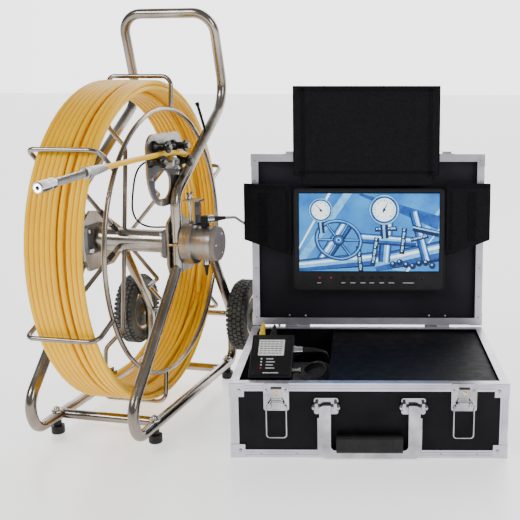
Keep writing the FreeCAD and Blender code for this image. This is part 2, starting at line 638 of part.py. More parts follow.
def base_hinge(a):
    """Leaf on the back of the base, with half of the knuckle and the pin."""
    axis_b = CASE_D + HINGE_GAP
    left, right = a - HINGE_HALF, a + HINGE_HALF
    leaf = box(left, right, CASE_D, CASE_D + LEAF_T, BASE_H - 26, BASE_H - 4)
    tongue = box(left, a - 0.3, CASE_D, CASE_D + LEAF_T, BASE_H - 5, BASE_H)
    knuckle = cyl(V(left, axis_b, BASE_H), AX, KNUCKLE_R, HINGE_HALF - 0.3)
    pin = cyl(V(left, axis_b, BASE_H), AX, HINGE_PIN_R, 2 * HINGE_HALF)
    return fuse(leaf, tongue, knuckle, pin)


def latch_bail(a):
    """Wire loop that hangs from its lugs while the case is open."""
    b, h = LATCH_B, LATCH_H
    points = [V(a - 7.4, b, h), V(a - BAIL_HALF, b, h), V(a - BAIL_HALF, b, BAIL_LOW),
              V(a + BAIL_HALF, b, BAIL_LOW), V(a + BAIL_HALF, b, h), V(a + 7.4, b, h)]
    return bent_tube(points, BAIL_D, [3, 5, 5, 3])[0]


def case_handle():
    """Pressed strap with a cross pin in each bracket."""
    mid = sum(BRACKET_AS) / 2
    left, right = mid - HANDLE_HALF, mid + HANDLE_HALF
    strap = rounded_edges(box(left, right, -12, -5, 4, 96), 12, AY)
    strap = strap.cut(rounded_edges(box(left + 22, right - 22, -20, 0, 18, 130), 8, AY))
    strap = strap.cut(box(left - 1, left + 3, -20, 0, 75, 110))
    strap = strap.cut(box(right - 3, right + 1, -20, 0, 75, 110))
    pins = [cyl(V(a - 18, PIVOT_B, PIVOT_H), AX, 2, 36) for a in BRACKET_AS]
    return fuse(strap, *pins)


def case_handle_grip(strap):
    mid = sum(BRACKET_AS) / 2
    grip = rounded_edges(box(mid - 55, mid + 55, -18, -3.3, 14, 45), 6, AX)
    return biggest(grip.cut(strap))


# ---- lid --------------------------------------------------------------------
def lid_tray():
    """Shell of the lid, and the lining board that the monitor stands in front of."""
    t = TRIM_T
    half = CASE_W / 2 - t
    y0, y1 = RIM_GAP + t, RIM_GAP + LID_T - t
    z0, z1 = HINGE_GAP + t, HINGE_GAP + CASE_D - t
    outer = box(-half, half, y0, y1, z0, z1)
    tray = outer.cut(box(-half + WALL, half - WALL, 0, y1 - WALL, z0 + WALL, z1 - WALL))
    lining = box(-half + WALL, half - WALL, MON_BACK, MON_BACK + 3, z0 + WALL, z1 - WALL)
    return tray, lining


def lid_trim():
    half = CASE_W / 2
    low, high = HINGE_GAP, HINGE_GAP + CASE_D
    front = box(-half - 9, half + 9, -9, RIM_GAP, low - 9, high + 9)
    return box_trim(-half, half, RIM_GAP, RIM_GAP + LID_T, low, high, front)


def lid_hinge(a):
    """Leaf under the open lid, running on the base hinge's pin."""
    left, right = a - HINGE_HALF, a + HINGE_HALF
    leaf = box(left, right, 6, 26, HINGE_GAP - LEAF_T, HINGE_GAP)
    tongue = box(a + 0.3, right, 0, 7, HINGE_GAP - LEAF_T, HINGE_GAP)
    knuckle = cyl(V(a + 0.3, 0, 0), AX, KNUCKLE_R, HINGE_HALF - 0.3)
    pin_hole = cyl(V(left - 1, 0, 0), AX, HINGE_PIN_R + RUNNING_GAP, 2 * HINGE_HALF + 2)
    return fuse(leaf, tongue, knuckle).cut(pin_hole)


def lid_catch(a):
    """Keeper plate on the lid's free edge, above a latch."""
    top = HINGE_GAP + CASE_D
    plate = box(a - 15, a + 15, RIM_GAP, 24, top, top + 1.5)
    return fuse(plate, box(a - 9, a + 9, 6, 10, top + 1.5, top + 6))


def button_blank(a, half_w, half_h, y0, length):
    """Short slanted oval pin along Y."""
    oval = Part.Wire(Part.Ellipse(V(0, 0, 0), half_w, half_h).toShape())
    pin = Part.Face(oval).extrude(V(0, 0, length))
    pin.rotate(V(0, 0, 0), AZ, BUTTON_TURN)
    pin.rotate(V(0, 0, 0), AX, -90)
    pin.translate(V(a, y0, BUTTON_H))
    return pin


def monitor_button(a):
    return button_blank(a, BUTTON_HALF_W, BUTTON_HALF_H, MON_FRONT - 1.2, 5.2)


def screen_panel(margin=0.0, front=SCREEN_DEEP):
    left, right = MON_A - SCREEN_W / 2 - margin, MON_A + SCREEN_W / 2 + margin
    low, high = SCREEN_H0 - margin, SCREEN_H0 + SCREEN_H + margin
    return box(left, right, MON_FRONT + front, MON_FRONT + SCREEN_DEEP + SCREEN_T, low, high)


def monitor_housing():
    """Shell with a recess for the screen and a hole for each button."""
    x0, x1 = MON_A - MON_W / 2, MON_A + MON_W / 2
    shell = box(x0, x1, MON_FRONT, MON_BACK, MON_H0, MON_H0 + MON_H)
    shell = rounded_edges(shell, 11, AY).cut(screen_panel(1.0, -1.0))
    for a in BUTTON_AS:
        hole = button_blank(a, BUTTON_HALF_W + BUTTON_GAP, BUTTON_HALF_H + BUTTON_GAP, MON_FRONT - 1, 6.2)
        shell = shell.cut(hole)
    return shell


def sun_shade(outline):
    points = [V(a, FLAP_Y, h) for a, h in outline]
    return Part.Face(Part.makePolygon(points + points[:1])).extrude(V(0, FLAP_T, 0))


# ---- leads ------------------------------------------------------------------
def link_lead_coil():
    """Eight turns, two side by side and four high."""
    height = LEAD_COIL_ROWS * LEAD_D
    outer = cyl(LEAD_COIL_AT, AZ, LEAD_COIL_R + LEAD_D, height)
    return outer.cut(cyl(LEAD_COIL_AT - AZ, AZ, LEAD_COIL_R - LEAD_D, height + 2))


def link_plug():
    """Screw-lock plug with its tapered boot, lying on the coil."""
    start = LEAD_COIL_AT + V(-10, -LEAD_COIL_R, LEAD_COIL_ROWS * LEAD_D + 7.1)
    boot = Part.makeCone(3.2, 5.5, 18, start, AX)
    return fuse(boot, cyl(start + V(18, 0, 0), AX, 6, 12), cyl(start + V(30, 0, 0), AX, 7, 12))


# ---- assembly ---------------------------------------------------------------
def build_stand():
    handle = handle_tube()
    add("handle_tube", handle)
    add("side_loop_right", side_loop(SIDE_X, handle))
    add("side_loop_left", side_loop(-SIDE_X, handle))
    add("cross_tubes", *cross_tubes())
    add("bearing_plates", bearing_plate(-1), bearing_plate(1))
    add("drum_bearings", drum_bearing(-1), drum_bearing(1))
    add("stand_fasteners", *stand_fasteners())
    add("rubber_feet", *[rubber_foot(s * SIDE_X, y) for s in (-1, 1) for y in FOOT_YS])
    for name, side in (("right", 1), ("left", -1)):
        add("tyre_" + name, tyre(side))
        add("rim_" + name, rim(side))


def build_slip_ring():
    add("slip_ring_body", slip_ring_body())
    add("slip_ring_cap", slip_ring_cap())
    add("slip_ring_sockets", *slip_ring_sockets())
    add("brake_bracket", brake_bracket())
    add("brake_screw", brake_screw())


def build_guide():
    add("guide_plate", guide_plate())
    for index, place in enumerate(ROLLER_PLACES, 1):
        add("guide_roller_%d" % index, bobbin(*place))
    add("measuring_wheel", measuring_wheel())
    add("encoder_body", encoder_body())


def build_drum():
    add("drum_axle", drum_axle())
    add("cage_bars", *cage_bars())
    add("near_ring", near_ring())
    coil = push_rod_coil()
    add("push_rod_coil", coil)
    fitting = rod_fitting()
    tail = cord_tube("push_rod_tail", TAIL_ROUTE, ROD_D)
    add("push_rod_tail", biggest(tail.cut(push_rod_coil(0.05)).cut(fitting)))
    add("rod_fitting", fitting)
    add("camera_spring", camera_spring())
    add("camera_head", camera_head())


def build_base():
    add("case_base", in_case(base_shell()))
    add("case_base_trim", *[in_case(s) for s in base_trim()])
    add("deck_panel", in_case(deck_panel()), control_stand())
    add("control_box", tilted(control_box()))
    add("battery_pack", in_case(battery_pack()))
    add("power_switch", tilted(power_switch()))
    hardware = [latch_plate(a) for a in LATCH_AS] + [handle_bracket(a) for a in BRACKET_AS]
    hardware += [base_hinge(a) for a in HINGE_AS]
    add("case_hardware", *[in_case(s) for s in hardware])
    for name, a in zip(("left", "right"), LATCH_AS):
        add("latch_bail_" + name, in_case(latch_bail(a)))
    strap = case_handle()
    add("case_handle", in_case(strap))
    add("case_handle_grip", in_case(case_handle_grip(strap)))


def build_lid():
    add("lid_shell", *[in_lid(s) for s in lid_tray()])
    fittings = [lid_hinge(a) for a in HINGE_AS] + [lid_catch(a) for a in LATCH_AS]
    add("lid_trim", *[in_lid(s) for s in lid_trim() + fittings])
    add("monitor_housing", in_lid(monitor_housing()))
    add("screen_panel", in_lid(screen_panel()))
    for index, a in enumerate(BUTTON_AS, 1):
        add("monitor_button_%d" % index, in_lid(monitor_button(a)))
    for name, outline in (("top", FLAP_TOP), ("left", FLAP_LEFT), ("right", FLAP_RIGHT)):
        add("shade_" + name, in_lid(sun_shade(outline)))


def build_leads():
    coil = link_lead_coil()
    add("link_lead_coil", coil)
    lead = cord_tube("link_lead", LINK_ROUTE, LEAD_D)
    add("link_lead", biggest(lead.cut(coil).cut(pieces["slip_ring_sockets"])))
    add("link_plug", link_plug())
    lead = cord_tube("encoder_lead", ENCODER_ROUTE, ENCODER_LEAD_D)
    add("encoder_lead", biggest(lead.cut(pieces["encoder_body"]).cut(pieces["bearing_plates"])))


def build_all():
    """Build every node and return how far to shift them to the middle of the bottom."""
    build_stand()
    build_slip_ring()
    build_guide()
    build_drum()
    build_base()
    build_lid()
    build_leads()
    whole = FreeCAD.BoundBox()
    for node, shape in pieces.items():
        if node not in CORD_NODES:
            whole.add(shape.optimalBoundingBox(False))
    return V(-whole.Center.x, -whole.Center.y, -whole.ZMin)


if __name__ == "__main__":
    shift = build_all()
    os.makedirs("parts", exist_ok=True)
    for node, shape in pieces.items():
        shape.translate(shift)
        shape.exportStep("parts/%s.step" % node)
    print(len(pieces), "nodes, shifted by", shift)
    for name, radii, length, ratio in radii_log:
        print(name, "radii", radii, "length %.0f, volume ratio %.4f" % (length, ratio))
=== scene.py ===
"""Looks of the pipe inspection camera: push-rod reel on its stand, and the monitor case.

Every piece is made in millimetres in one of four frames (the reel, the case, the open lid and
the control box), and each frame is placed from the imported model's joints.
"""
import bmesh
import bpy
import json
import math
from mathutils import Matrix, Vector


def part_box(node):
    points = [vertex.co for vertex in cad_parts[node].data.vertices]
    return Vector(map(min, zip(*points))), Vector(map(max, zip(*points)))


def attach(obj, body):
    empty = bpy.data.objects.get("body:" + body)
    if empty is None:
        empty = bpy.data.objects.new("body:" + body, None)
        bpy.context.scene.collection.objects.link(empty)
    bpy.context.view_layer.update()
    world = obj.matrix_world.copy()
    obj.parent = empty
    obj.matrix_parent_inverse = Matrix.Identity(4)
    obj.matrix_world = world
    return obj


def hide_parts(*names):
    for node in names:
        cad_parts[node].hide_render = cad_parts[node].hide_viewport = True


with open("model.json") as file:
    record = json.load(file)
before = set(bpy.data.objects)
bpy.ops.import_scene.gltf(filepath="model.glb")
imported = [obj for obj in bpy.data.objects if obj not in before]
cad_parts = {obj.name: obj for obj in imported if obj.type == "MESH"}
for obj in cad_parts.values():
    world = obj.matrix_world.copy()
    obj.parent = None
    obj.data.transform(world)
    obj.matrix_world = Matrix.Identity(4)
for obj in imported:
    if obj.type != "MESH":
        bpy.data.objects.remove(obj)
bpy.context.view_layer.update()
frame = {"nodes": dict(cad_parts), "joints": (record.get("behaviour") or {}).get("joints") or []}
nodes = frame["nodes"]
joints = {j["name"]: j for j in frame["joints"]}

# ---- frames -----------------------------------------------------------------
HUB_Z, HINGE_B, BASE_H = 329.0, 343.0, 131.0
LID_LEAN, CONTROL_TILT = 5.0, 29.0
MM = Matrix.Scale(0.001, 4)
hub = Vector(joints["drum_spin"]["pos_m"])
hinge = Vector(joints["lid_hinge"]["pos_m"])
hinge_axis = joints["lid_hinge"]["axis"]
YAW = Matrix.Rotation(math.atan2(hinge_axis[1], hinge_axis[0]), 4, "Z")
REEL = Matrix.Translation(hub) @ MM @ Matrix.Translation((0, 0, -HUB_Z))
CASE = Matrix.Translation(hinge) @ YAW @ MM @ Matrix.Translation((0, -HINGE_B, -BASE_H))
LID = Matrix.Translation(hinge) @ YAW @ Matrix.Rotation(math.radians(-LID_LEAN), 4, "X") @ MM
CONTROL = CASE @ Matrix.Translation((-202, 20, 134)) @ Matrix.Rotation(math.radians(CONTROL_TILT), 4, "X")


# ---- camera -----------------------------------------------------------------
def make_camera():
    data = bpy.data.cameras.new("camera")
    data.sensor_width = 36.0
    data.lens = 61.85
    data.shift_x, data.shift_y = -0.1736, 0.0188
    data.clip_end = 50
    cam = bpy.data.objects.new("camera", data)
    bpy.context.scene.collection.objects.link(cam)
    cam.location = REEL @ Vector((754.34, -1484.62, 622.33))
    cam.rotation_euler = (math.radians(90 - 12.2), 0, math.radians(13.11))
    bpy.context.scene.camera = cam


# ---- materials --------------------------------------------------------------
class Nodes:
    """A material's node tree, with its Principled shader and short helpers."""

    def __init__(self, name):
        self.material = bpy.data.materials.new(name)
        self.material.use_nodes = True
        self.tree = self.material.node_tree
        self.shader = self.tree.nodes["Principled BSDF"]

    def node(self, kind, **values):
        made = self.tree.nodes.new(kind)
        for key, value in values.items():
            if key in made.inputs:
                made.inputs[key].default_value = value
            else:
                setattr(made, key, value)
        return made

    def link(self, source, target):
        self.tree.links.new(source, target)

    def place(self, scale=(1, 1, 1)):
        """Object coordinates, in metres, stretched by scale."""
        mapping = self.node("ShaderNodeMapping")
        mapping.inputs["Scale"].default_value = scale
        self.link(self.node("ShaderNodeTexCoord").outputs["Object"], mapping.inputs["Vector"])
        return mapping.outputs["Vector"]

    def noise(self, scale, stretch=(1, 1, 1), detail=4.0, roughness=0.55):
        made = self.node("ShaderNodeTexNoise", Scale=scale, Detail=detail, Roughness=roughness)
        self.link(self.place(stretch), made.inputs["Vector"])
        return made.outputs["Fac"]

    def spread(self, source, low, high, start=0.3, end=0.7):
        made = self.node("ShaderNodeMapRange")
        for key, value in (("From Min", start), ("From Max", end), ("To Min", low), ("To Max", high)):
            made.inputs[key].default_value = value
        self.link(source, made.inputs["Value"])
        return made.outputs["Result"]

    def math(self, operation, a, b=0.0):
        made = self.node("ShaderNodeMath", operation=operation)
        for socket, value in zip(made.inputs, (a, b)):
            if isinstance(value, (int, float)):
                socket.default_value = value
            else:
                self.link(value, socket)
        return made.outputs[0]

    def mix(self, factor, a, b):
        """One of two colours, or between them; each is a colour or an output."""
        made = self.node("ShaderNodeMix", data_type="RGBA")
        for socket, value in ((made.inputs[0], factor), (made.inputs[6], a), (made.inputs[7], b)):
            if isinstance(value, tuple):
                socket.default_value = (*value, 1)
            elif isinstance(value, (int, float)):
                socket.default_value = value
            else:
                self.link(value, socket)
        return made.outputs[2]

    def bump(self, height, strength, distance=0.001):
        made = self.node("ShaderNodeBump", Strength=strength, Distance=distance)
        self.link(height, made.inputs["Height"])
        self.link(made.outputs["Normal"], self.shader.inputs["Normal"])

    def colour(self, source):
        self.link(source, self.shader.inputs["Base Color"])

    def rough(self, source):
        self.link(source, self.shader.inputs["Roughness"])

    def set(self, **values):
        for key, value in values.items():
            self.shader.inputs[key.replace("_", " ")].default_value = value


def surface(name, dark, light, scale, rough, bump=0.0, bump_scale=900, metal=0.0,
            stretch=(1, 1, 1), bump_distance=0.0004, specular=0.5):
    """Colour and roughness that wander between two values, with a fine bump."""
    n = Nodes(name)
    wander = n.noise(scale, stretch)
    n.colour(n.mix(n.spread(wander, 0, 1), dark, light))
    n.rough(n.spread(n.noise(scale * 2.3, stretch), rough[0], rough[1]))
    if bump:
        n.bump(n.noise(bump_scale, stretch, 2.0), bump, bump_distance)
    n.set(Metallic=metal, Specular_IOR_Level=specular)
    return n.material


def pebbled(name, dark, light, rough, cell=520, strength=0.35):
    """Pressed leather-grain board."""
    n = Nodes(name)
    cells = n.node("ShaderNodeTexVoronoi", Scale=cell, feature="DISTANCE_TO_EDGE")
    n.link(n.place(), cells.inputs["Vector"])
    n.colour(n.mix(n.spread(n.noise(16), 0, 1), dark, light))
    n.rough(n.spread(n.noise(60), rough[0], rough[1]))
    n.bump(n.spread(cells.outputs["Distance"], 0, 1, 0.0, 0.12), strength, 0.0004)
    n.set(Specular_IOR_Level=0.15)
    return n.material


def woven(name, dark, light, threads=1150):
    """Cloth: two crossing sets of threads."""
    n = Nodes(name)
    bands = []
    for axis in ("X", "Z"):
        wave = n.node("ShaderNodeTexWave", Scale=threads / 6.283, bands_direction=axis)
        wave.inputs["Distortion"].default_value = 0.6
        n.link(n.place(), wave.inputs["Vector"])
        bands.append(wave.outputs["Fac"])
    weave = n.math("MULTIPLY", bands[0], bands[1])
    n.colour(n.mix(n.math("MULTIPLY", weave, n.spread(n.noise(30), 0.5, 1.0)), dark, light))
    n.rough(n.spread(n.noise(200), 0.75, 0.95))
    n.bump(weave, 0.5, 0.0004)
    n.set(Sheen_Weight=0.08, Sheen_Roughness=0.5, Specular_IOR_Level=0.2)
    return n.material


def lit(name, dark, light, scale, strength):
    """A surface that also gives off its own colour: lamps and the lit screen."""
    n = Nodes(name)
    tone = n.mix(n.spread(n.noise(scale, (1, 0.2, 1)), 0, 1), dark, light)
    n.colour(tone)
    n.link(tone, n.shader.inputs["Emission Color"])
    n.rough(n.spread(n.noise(80), 0.25, 0.35))
    n.set(Emission_Strength=strength)
    return n.material


MATERIALS = {}


SURFACES = {
    "tube": dict(dark=(0.15, 0.13, 0.105), light=(0.42, 0.385, 0.34), scale=9, rough=(0.13, 0.30),
                 bump=0.12, bump_scale=420, metal=1.0),
    "plate": dict(dark=(0.26, 0.24, 0.215), light=(0.44, 0.42, 0.39), scale=26, rough=(0.28, 0.42),
                  bump=0.10, bump_scale=700, metal=1.0),
    "iron": dict(dark=(0.10, 0.10, 0.11), light=(0.17, 0.17, 0.18), scale=30, rough=(0.45, 0.7),
                 bump=0.3, bump_scale=600, metal=0.3),
    "bright": dict(dark=(0.40, 0.39, 0.38), light=(0.66, 0.65, 0.64), scale=60, rough=(0.10, 0.24),
                   bump=0.04, bump_scale=900, metal=1.0),
    "rubber": dict(dark=(0.003, 0.003, 0.003), light=(0.010, 0.010, 0.010), scale=60,
                   rough=(0.35, 0.55), bump=0.2, specular=0.3),
    "tyre": dict(dark=(0.030, 0.031, 0.029), light=(0.085, 0.085, 0.078), scale=34,
                 rough=(0.65, 0.9), bump=0.4, bump_scale=500),
    "aluminium": dict(dark=(0.34, 0.345, 0.34), light=(0.52, 0.52, 0.51), scale=24,
                      rough=(0.26, 0.42), bump=0.1, bump_scale=650, metal=1.0, stretch=(4, 1, 1)),
    "cap": dict(dark=(0.19, 0.155, 0.135), light=(0.25, 0.21, 0.185), scale=60, rough=(0.4, 0.55),
                bump=0.15, bump_scale=800),
    "gloss": dict(dark=(0.003, 0.003, 0.003), light=(0.009, 0.009, 0.010), scale=50,
                  rough=(0.20, 0.34), bump=0.05, bump_scale=700, specular=0.35),
    "rod": dict(dark=(0.88, 0.47, 0.0), light=(1.0, 0.57, 0.0), scale=7, rough=(0.28, 0.42),
                bump=0.12, bump_scale=260, specular=0.3),
    "zinc": dict(dark=(0.52, 0.33, 0.10), light=(0.78, 0.58, 0.26), scale=40, rough=(0.25, 0.45),
                 bump=0.2, bump_scale=500, metal=0.9),
    "lining": dict(dark=(0.005, 0.004, 0.008), light=(0.012, 0.010, 0.019), scale=6,
                   rough=(0.5, 0.65), bump=0.25, bump_scale=1200, specular=0.25),
    "trim": dict(dark=(0.50, 0.49, 0.56), light=(0.68, 0.66, 0.74), scale=18, rough=(0.26, 0.40),
                 bump=0.08, bump_scale=800, metal=0.85),
    "chrome": dict(dark=(0.30, 0.295, 0.32), light=(0.58, 0.57, 0.61), scale=30,
                   rough=(0.06, 0.16), bump=0.03, bump_scale=900, metal=1.0),
    "brass": dict(dark=(0.55, 0.34, 0.10), light=(0.80, 0.56, 0.22), scale=90, rough=(0.2, 0.35),
                  bump=0.1, bump_scale=900, metal=1.0),
    "plastic": dict(dark=(0.002, 0.002, 0.003), light=(0.007, 0.006, 0.009), scale=40,
                    rough=(0.38, 0.55), bump=0.3, bump_scale=1600, specular=0.25),
    "bezel": dict(dark=(0.003, 0.003, 0.004), light=(0.008, 0.007, 0.011), scale=22,
                  rough=(0.30, 0.44), bump=0.2, bump_scale=1800, specular=0.3),
    "black": dict(dark=(0.004, 0.004, 0.005), light=(0.010, 0.010, 0.012), scale=50,
                  rough=(0.3, 0.5), bump=0.1),
    "lead": dict(dark=(0.20, 0.20, 0.20), light=(0.33, 0.33, 0.32), scale=50, rough=(0.4, 0.55),
                 bump=0.1),
    "yellow": dict(dark=(0.80, 0.52, 0.0), light=(0.95, 0.68, 0.01), scale=60, rough=(0.3, 0.45),
                   bump=0.1),
    "battery": dict(dark=(0.02, 0.04, 0.16), light=(0.04, 0.07, 0.25), scale=60, rough=(0.3, 0.5),
                    bump=0.1),
    "velcro": dict(dark=(0.001, 0.001, 0.002), light=(0.006, 0.006, 0.008), scale=300,
                   rough=(0.8, 0.98), bump=0.9, bump_scale=1500, specular=0.15),
    "label": dict(dark=(0.55, 0.56, 0.60), light=(0.66, 0.67, 0.70), scale=60, rough=(0.35, 0.5),
                  bump=0.05),
    "red": dict(dark=(0.5, 0.01, 0.01), light=(0.8, 0.03, 0.02), scale=90, rough=(0.2, 0.3),
                bump=0.05),
    "white": dict(dark=(0.70, 0.70, 0.70), light=(0.85, 0.85, 0.85), scale=60, rough=(0.3, 0.45),
                  bump=0.05),
}


def make_materials():
    m = MATERIALS
    for name, values in SURFACES.items():
        m[name] = surface(name, **values)
    m["panel"] = pebbled("panel", (0.001, 0.001, 0.002), (0.004, 0.0035, 0.006), (0.42, 0.6))
    m["cloth"] = woven("cloth", (0.001, 0.001, 0.002), (0.008, 0.007, 0.011))
    m["lamp"] = lit("lamp", (0.85, 0.92, 1.0), (1.0, 1.0, 1.0), 90, 9.0)
    m["picture_ground"] = lit("picture_ground", (0.0, 0.10, 0.50), (0.06, 0.42, 0.88), 11, 0.5)
    m["picture_deep"] = lit("picture_deep", (0.0, 0.006, 0.04), (0.002, 0.02, 0.12), 40, 0.5)
    m["picture_mid"] = lit("picture_mid", (0.002, 0.05, 0.28), (0.01, 0.13, 0.50), 60, 0.5)
    m["picture_light"] = lit("picture_light", (0.08, 0.36, 0.78), (0.26, 0.66, 0.96), 60, 0.6)
    m["picture_white"] = lit("picture_white", (0.75, 0.92, 1.0), (0.95, 1.0, 1.0), 60, 0.9)


NODE_LOOKS = {
    "tube": ("handle_tube", "side_loop_right", "side_loop_left", "cross_tubes", "drum_axle", "cage_bars",
             "near_ring"),
    "plate": ("bearing_plates", "brake_bracket", "guide_plate"),
    "iron": ("drum_bearings",),
    "bright": ("stand_fasteners", "brake_screw", "power_switch"),
    "rubber": ("rubber_feet", "slip_ring_sockets", "case_handle_grip"),
    "aluminium": ("slip_ring_body", "measuring_wheel", "encoder_body"),
    "cap": ("slip_ring_cap",),
    "gloss": tuple("guide_roller_%d" % i for i in range(1, 5)),
    "zinc": ("rim_right", "rim_left"),
    "panel": ("case_base", "deck_panel"),
    "lining": ("lid_shell",),
    "trim": ("case_base_trim", "lid_trim"),
    "chrome": ("case_hardware", "latch_bail_left", "latch_bail_right", "case_handle"),
    "plastic": ("control_box",) + tuple("monitor_button_%d" % i for i in range(1, 7)),
    "bezel": ("monitor_housing",),
    "black": ("screen_panel",),
    "battery": ("battery_pack",),
}


def dress_nodes():
    for look, names in NODE_LOOKS.items():
        for name in names:
            mesh = nodes[name].data
            mesh.materials.clear()
            mesh.materials.append(MATERIALS[look])


# ---- shapes -----------------------------------------------------------------
def merge(bm, part):
    mesh = bpy.data.meshes.new("part")
    part.to_mesh(mesh)
    part.free()
    bm.from_mesh(mesh)
    bpy.data.meshes.remove(mesh)


def round_edges(part, bevel, segments):
    bmesh.ops.bevel(part, geom=part.edges[:], offset=bevel, segments=segments, affect="EDGES",
                    profile=0.5)


def block(bm, x0, x1, y0, y1, z0, z1, bevel=0.0, segments=2, turn=None):
    """Box with rounded edges; turn is a matrix applied about the frame's origin."""
    part = bmesh.new()
    bmesh.ops.create_cube(part, size=1.0)
    size = Matrix.Diagonal((x1 - x0, y1 - y0, z1 - z0, 1))
    middle = Matrix.Translation(((x0 + x1) / 2, (y0 + y1) / 2, (z0 + z1) / 2))
    bmesh.ops.transform(part, matrix=middle @ size, verts=part.verts)
    if bevel:
        round_edges(part, bevel, segments)
    if turn:
        bmesh.ops.transform(part, matrix=turn, verts=part.verts)
    merge(bm, part)


def toward(start, direction):
    """Matrix that takes +Z at the origin to a direction at a start point."""
    turn = Vector((0, 0, 1)).rotation_difference(Vector(direction)).to_matrix().to_4x4()
    return Matrix.Translation(start) @ turn


def lathe(bm, profile, start, direction, sides=32):
    """Turned shape from (distance along the axis, radius) points."""
    part = bmesh.new()
    rings = []
    for along, radius in profile:
        if radius < 1e-6:
            rings.append([part.verts.new((0, 0, along))])
            continue
        angles = [2 * math.pi * i / sides for i in range(sides)]
        rings.append([part.verts.new((radius * math.cos(a), radius * math.sin(a), along)) for a in angles])
    for low, high in zip(rings, rings[1:]):
        for i in range(sides):
            j = (i + 1) % sides
            ends = [low[i % len(low)], low[j % len(low)], high[j % len(high)], high[i % len(high)]]
            corners = list(dict.fromkeys(ends))
            if len(corners) > 2:
                part.faces.new(corners)
    for ring, reverse in ((rings[0], True), (rings[-1], False)):
        if len(ring) > 1:
            part.faces.new(ring[::-1] if reverse else ring)
    bmesh.ops.transform(part, matrix=toward(start, direction), verts=part.verts)
    merge(bm, part)


def pipe(bm, points, radius, sides=10, closed=False):
    """Round bar along a line of points."""
    part = bmesh.new()
    points = [Vector(p) for p in points]
    count = len(points)
    rings = []
    side = None
    for i, point in enumerate(points):
        before = points[i - 1] if closed or i else point
        after = points[(i + 1) % count] if closed or i < count - 1 else point
        ahead = (after - before).normalized()
        if side is None:
            side = ahead.orthogonal().normalized()
        side = (side - ahead * side.dot(ahead)).normalized()
        other = ahead.cross(side)
        ring = []
        for k in range(sides):
            a = 2 * math.pi * k / sides
            ring.append(part.verts.new(point + (side * math.cos(a) + other * math.sin(a)) * radius))
        rings.append(ring)
    pairs = list(zip(rings, rings[1:])) + ([(rings[-1], rings[0])] if closed else [])
    for low, high in pairs:
        for k in range(sides):
            part.faces.new((low[k], low[(k + 1) % sides], high[(k + 1) % sides], high[k]))
    if not closed:
        part.faces.new(rings[0][::-1])
        part.faces.new(rings[-1])
    bmesh.ops.recalc_face_normals(part, faces=part.faces)
    merge(bm, part)


def prism(bm, outline, depth, bevel=0.0, segments=2):
    """Flat board from an outline of 3-D points, pushed out along depth."""
    part = bmesh.new()
    face = part.faces.new([part.verts.new(p) for p in outline])
    pushed = bmesh.ops.extrude_face_region(part, geom=[face])
    moved = [v for v in pushed["geom"] if isinstance(v, bmesh.types.BMVert)]
    bmesh.ops.translate(part, vec=depth, verts=moved)
    bmesh.ops.recalc_face_normals(part, faces=part.faces)
    if bevel:
        round_edges(part, bevel, segments)
    merge(bm, part)


def piece(name, bm, place, body, look, smooth_angle=35):
    """Finish a piece: put its mesh in the row's frame, give it a look and let it ride."""
    bmesh.ops.transform(bm, matrix=place, verts=bm.verts)
    mesh = bpy.data.meshes.new(name)
    bm.to_mesh(mesh)
    bm.free()
    mesh.materials.append(MATERIALS[look])
    made = bpy.data.objects.new(name, mesh)
    bpy.context.scene.collection.objects.link(made)
    mesh.shade_smooth()
    sharp = math.radians(smooth_angle)
    edges = bmesh.new()
    edges.from_mesh(mesh)
    for edge in edges.edges:
        edge.smooth = len(edge.link_faces) == 2 and edge.calc_face_angle(0) < sharp
    edges.to_mesh(mesh)
    edges.free()
    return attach(made, body)


def circle_yz(x, y, z, radius, count):
    steps = [2 * math.pi * i / count for i in range(count)]
    return [(x, y + radius * math.cos(a), z + radius * math.sin(a)) for a in steps]


# ---- cords ------------------------------------------------------------------
ROD_D = 9.0
TAIL_ROUTE = [(30, 219, 181), (30, 240, 243), (31, 240, 308), (31, 222, 368), (34, 186, 415),
              (44, 145, 446), (60, 104, 466), (79, 70, 477), (92, 38, 485), (97, 3, 490.6),
              (99, -46, 493.9), (99.5, -96, 494), (98, -150, 493.2), (95, -205, 491.6), (90, -258, 489)]
HEAD_START = Vector((90, -258, 489))
HEAD_DIR = Vector((-7, -55, -5)).normalized()
LEAD_D = 5.0
LINK_ROUTE = [(168.6, 27.6, 372), (174, 33, 371.8), (177, 41.5, 370.8), (176.5, 54, 369),
              (172.5, 71, 366), (167, 92, 361), (160, 118, 355), (154, 144, 348), (153.5, 171, 339),
              (151.5, 197, 326), (147.5, 224, 306), (149, 250, 279), (156, 268, 247), (166, 276, 212),
              (177, 277, 176), (186, 273, 140), (192, 267, 105), (196, 260, 72), (200, 252, 44),
              (207, 246, 23), (218, 242, 10), (232, 240.5, 4.4), (246, 240, 2.8)]
LEAD_COIL_X, LEAD_COIL_Y = 262.0, 268.0
ENCODER_LEAD_D = 3.4
ENCODER_ROUTE = [(61, -46, 478), (53, -46, 477), (46, -49, 472), (42, -56, 464), (42, -67, 452),
                 (44, -78, 437), (44, -84, 418), (41, -81, 399), (40, -71, 382), (44, -58, 370),
                 (52, -46, 363), (61, -35, 360.5), (70.5, -27.5, 360), (79.5, -25.5, 360)]


def cord_curve(name, points, diameter, body, look, resolution=4):
    curve = bpy.data.curves.new(name, "CURVE")
    curve.dimensions = "3D"
    spline = curve.splines.new("NURBS")
    spline.points.add(len(points) - 1)
    for target, point in zip(spline.points, points):
        target.co = (*(REEL @ Vector(point)), 1)
    spline.order_u = 3
    spline.use_endpoint_u = True
    spline.resolution_u = resolution
    curve.bevel_depth = diameter / 2000
    curve.bevel_resolution = 4
    curve.use_fill_caps = True
    curve.materials.append(MATERIALS[look])
    made = bpy.data.objects.new(name, curve)
    bpy.context.scene.collection.objects.link(made)
    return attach(made, body)


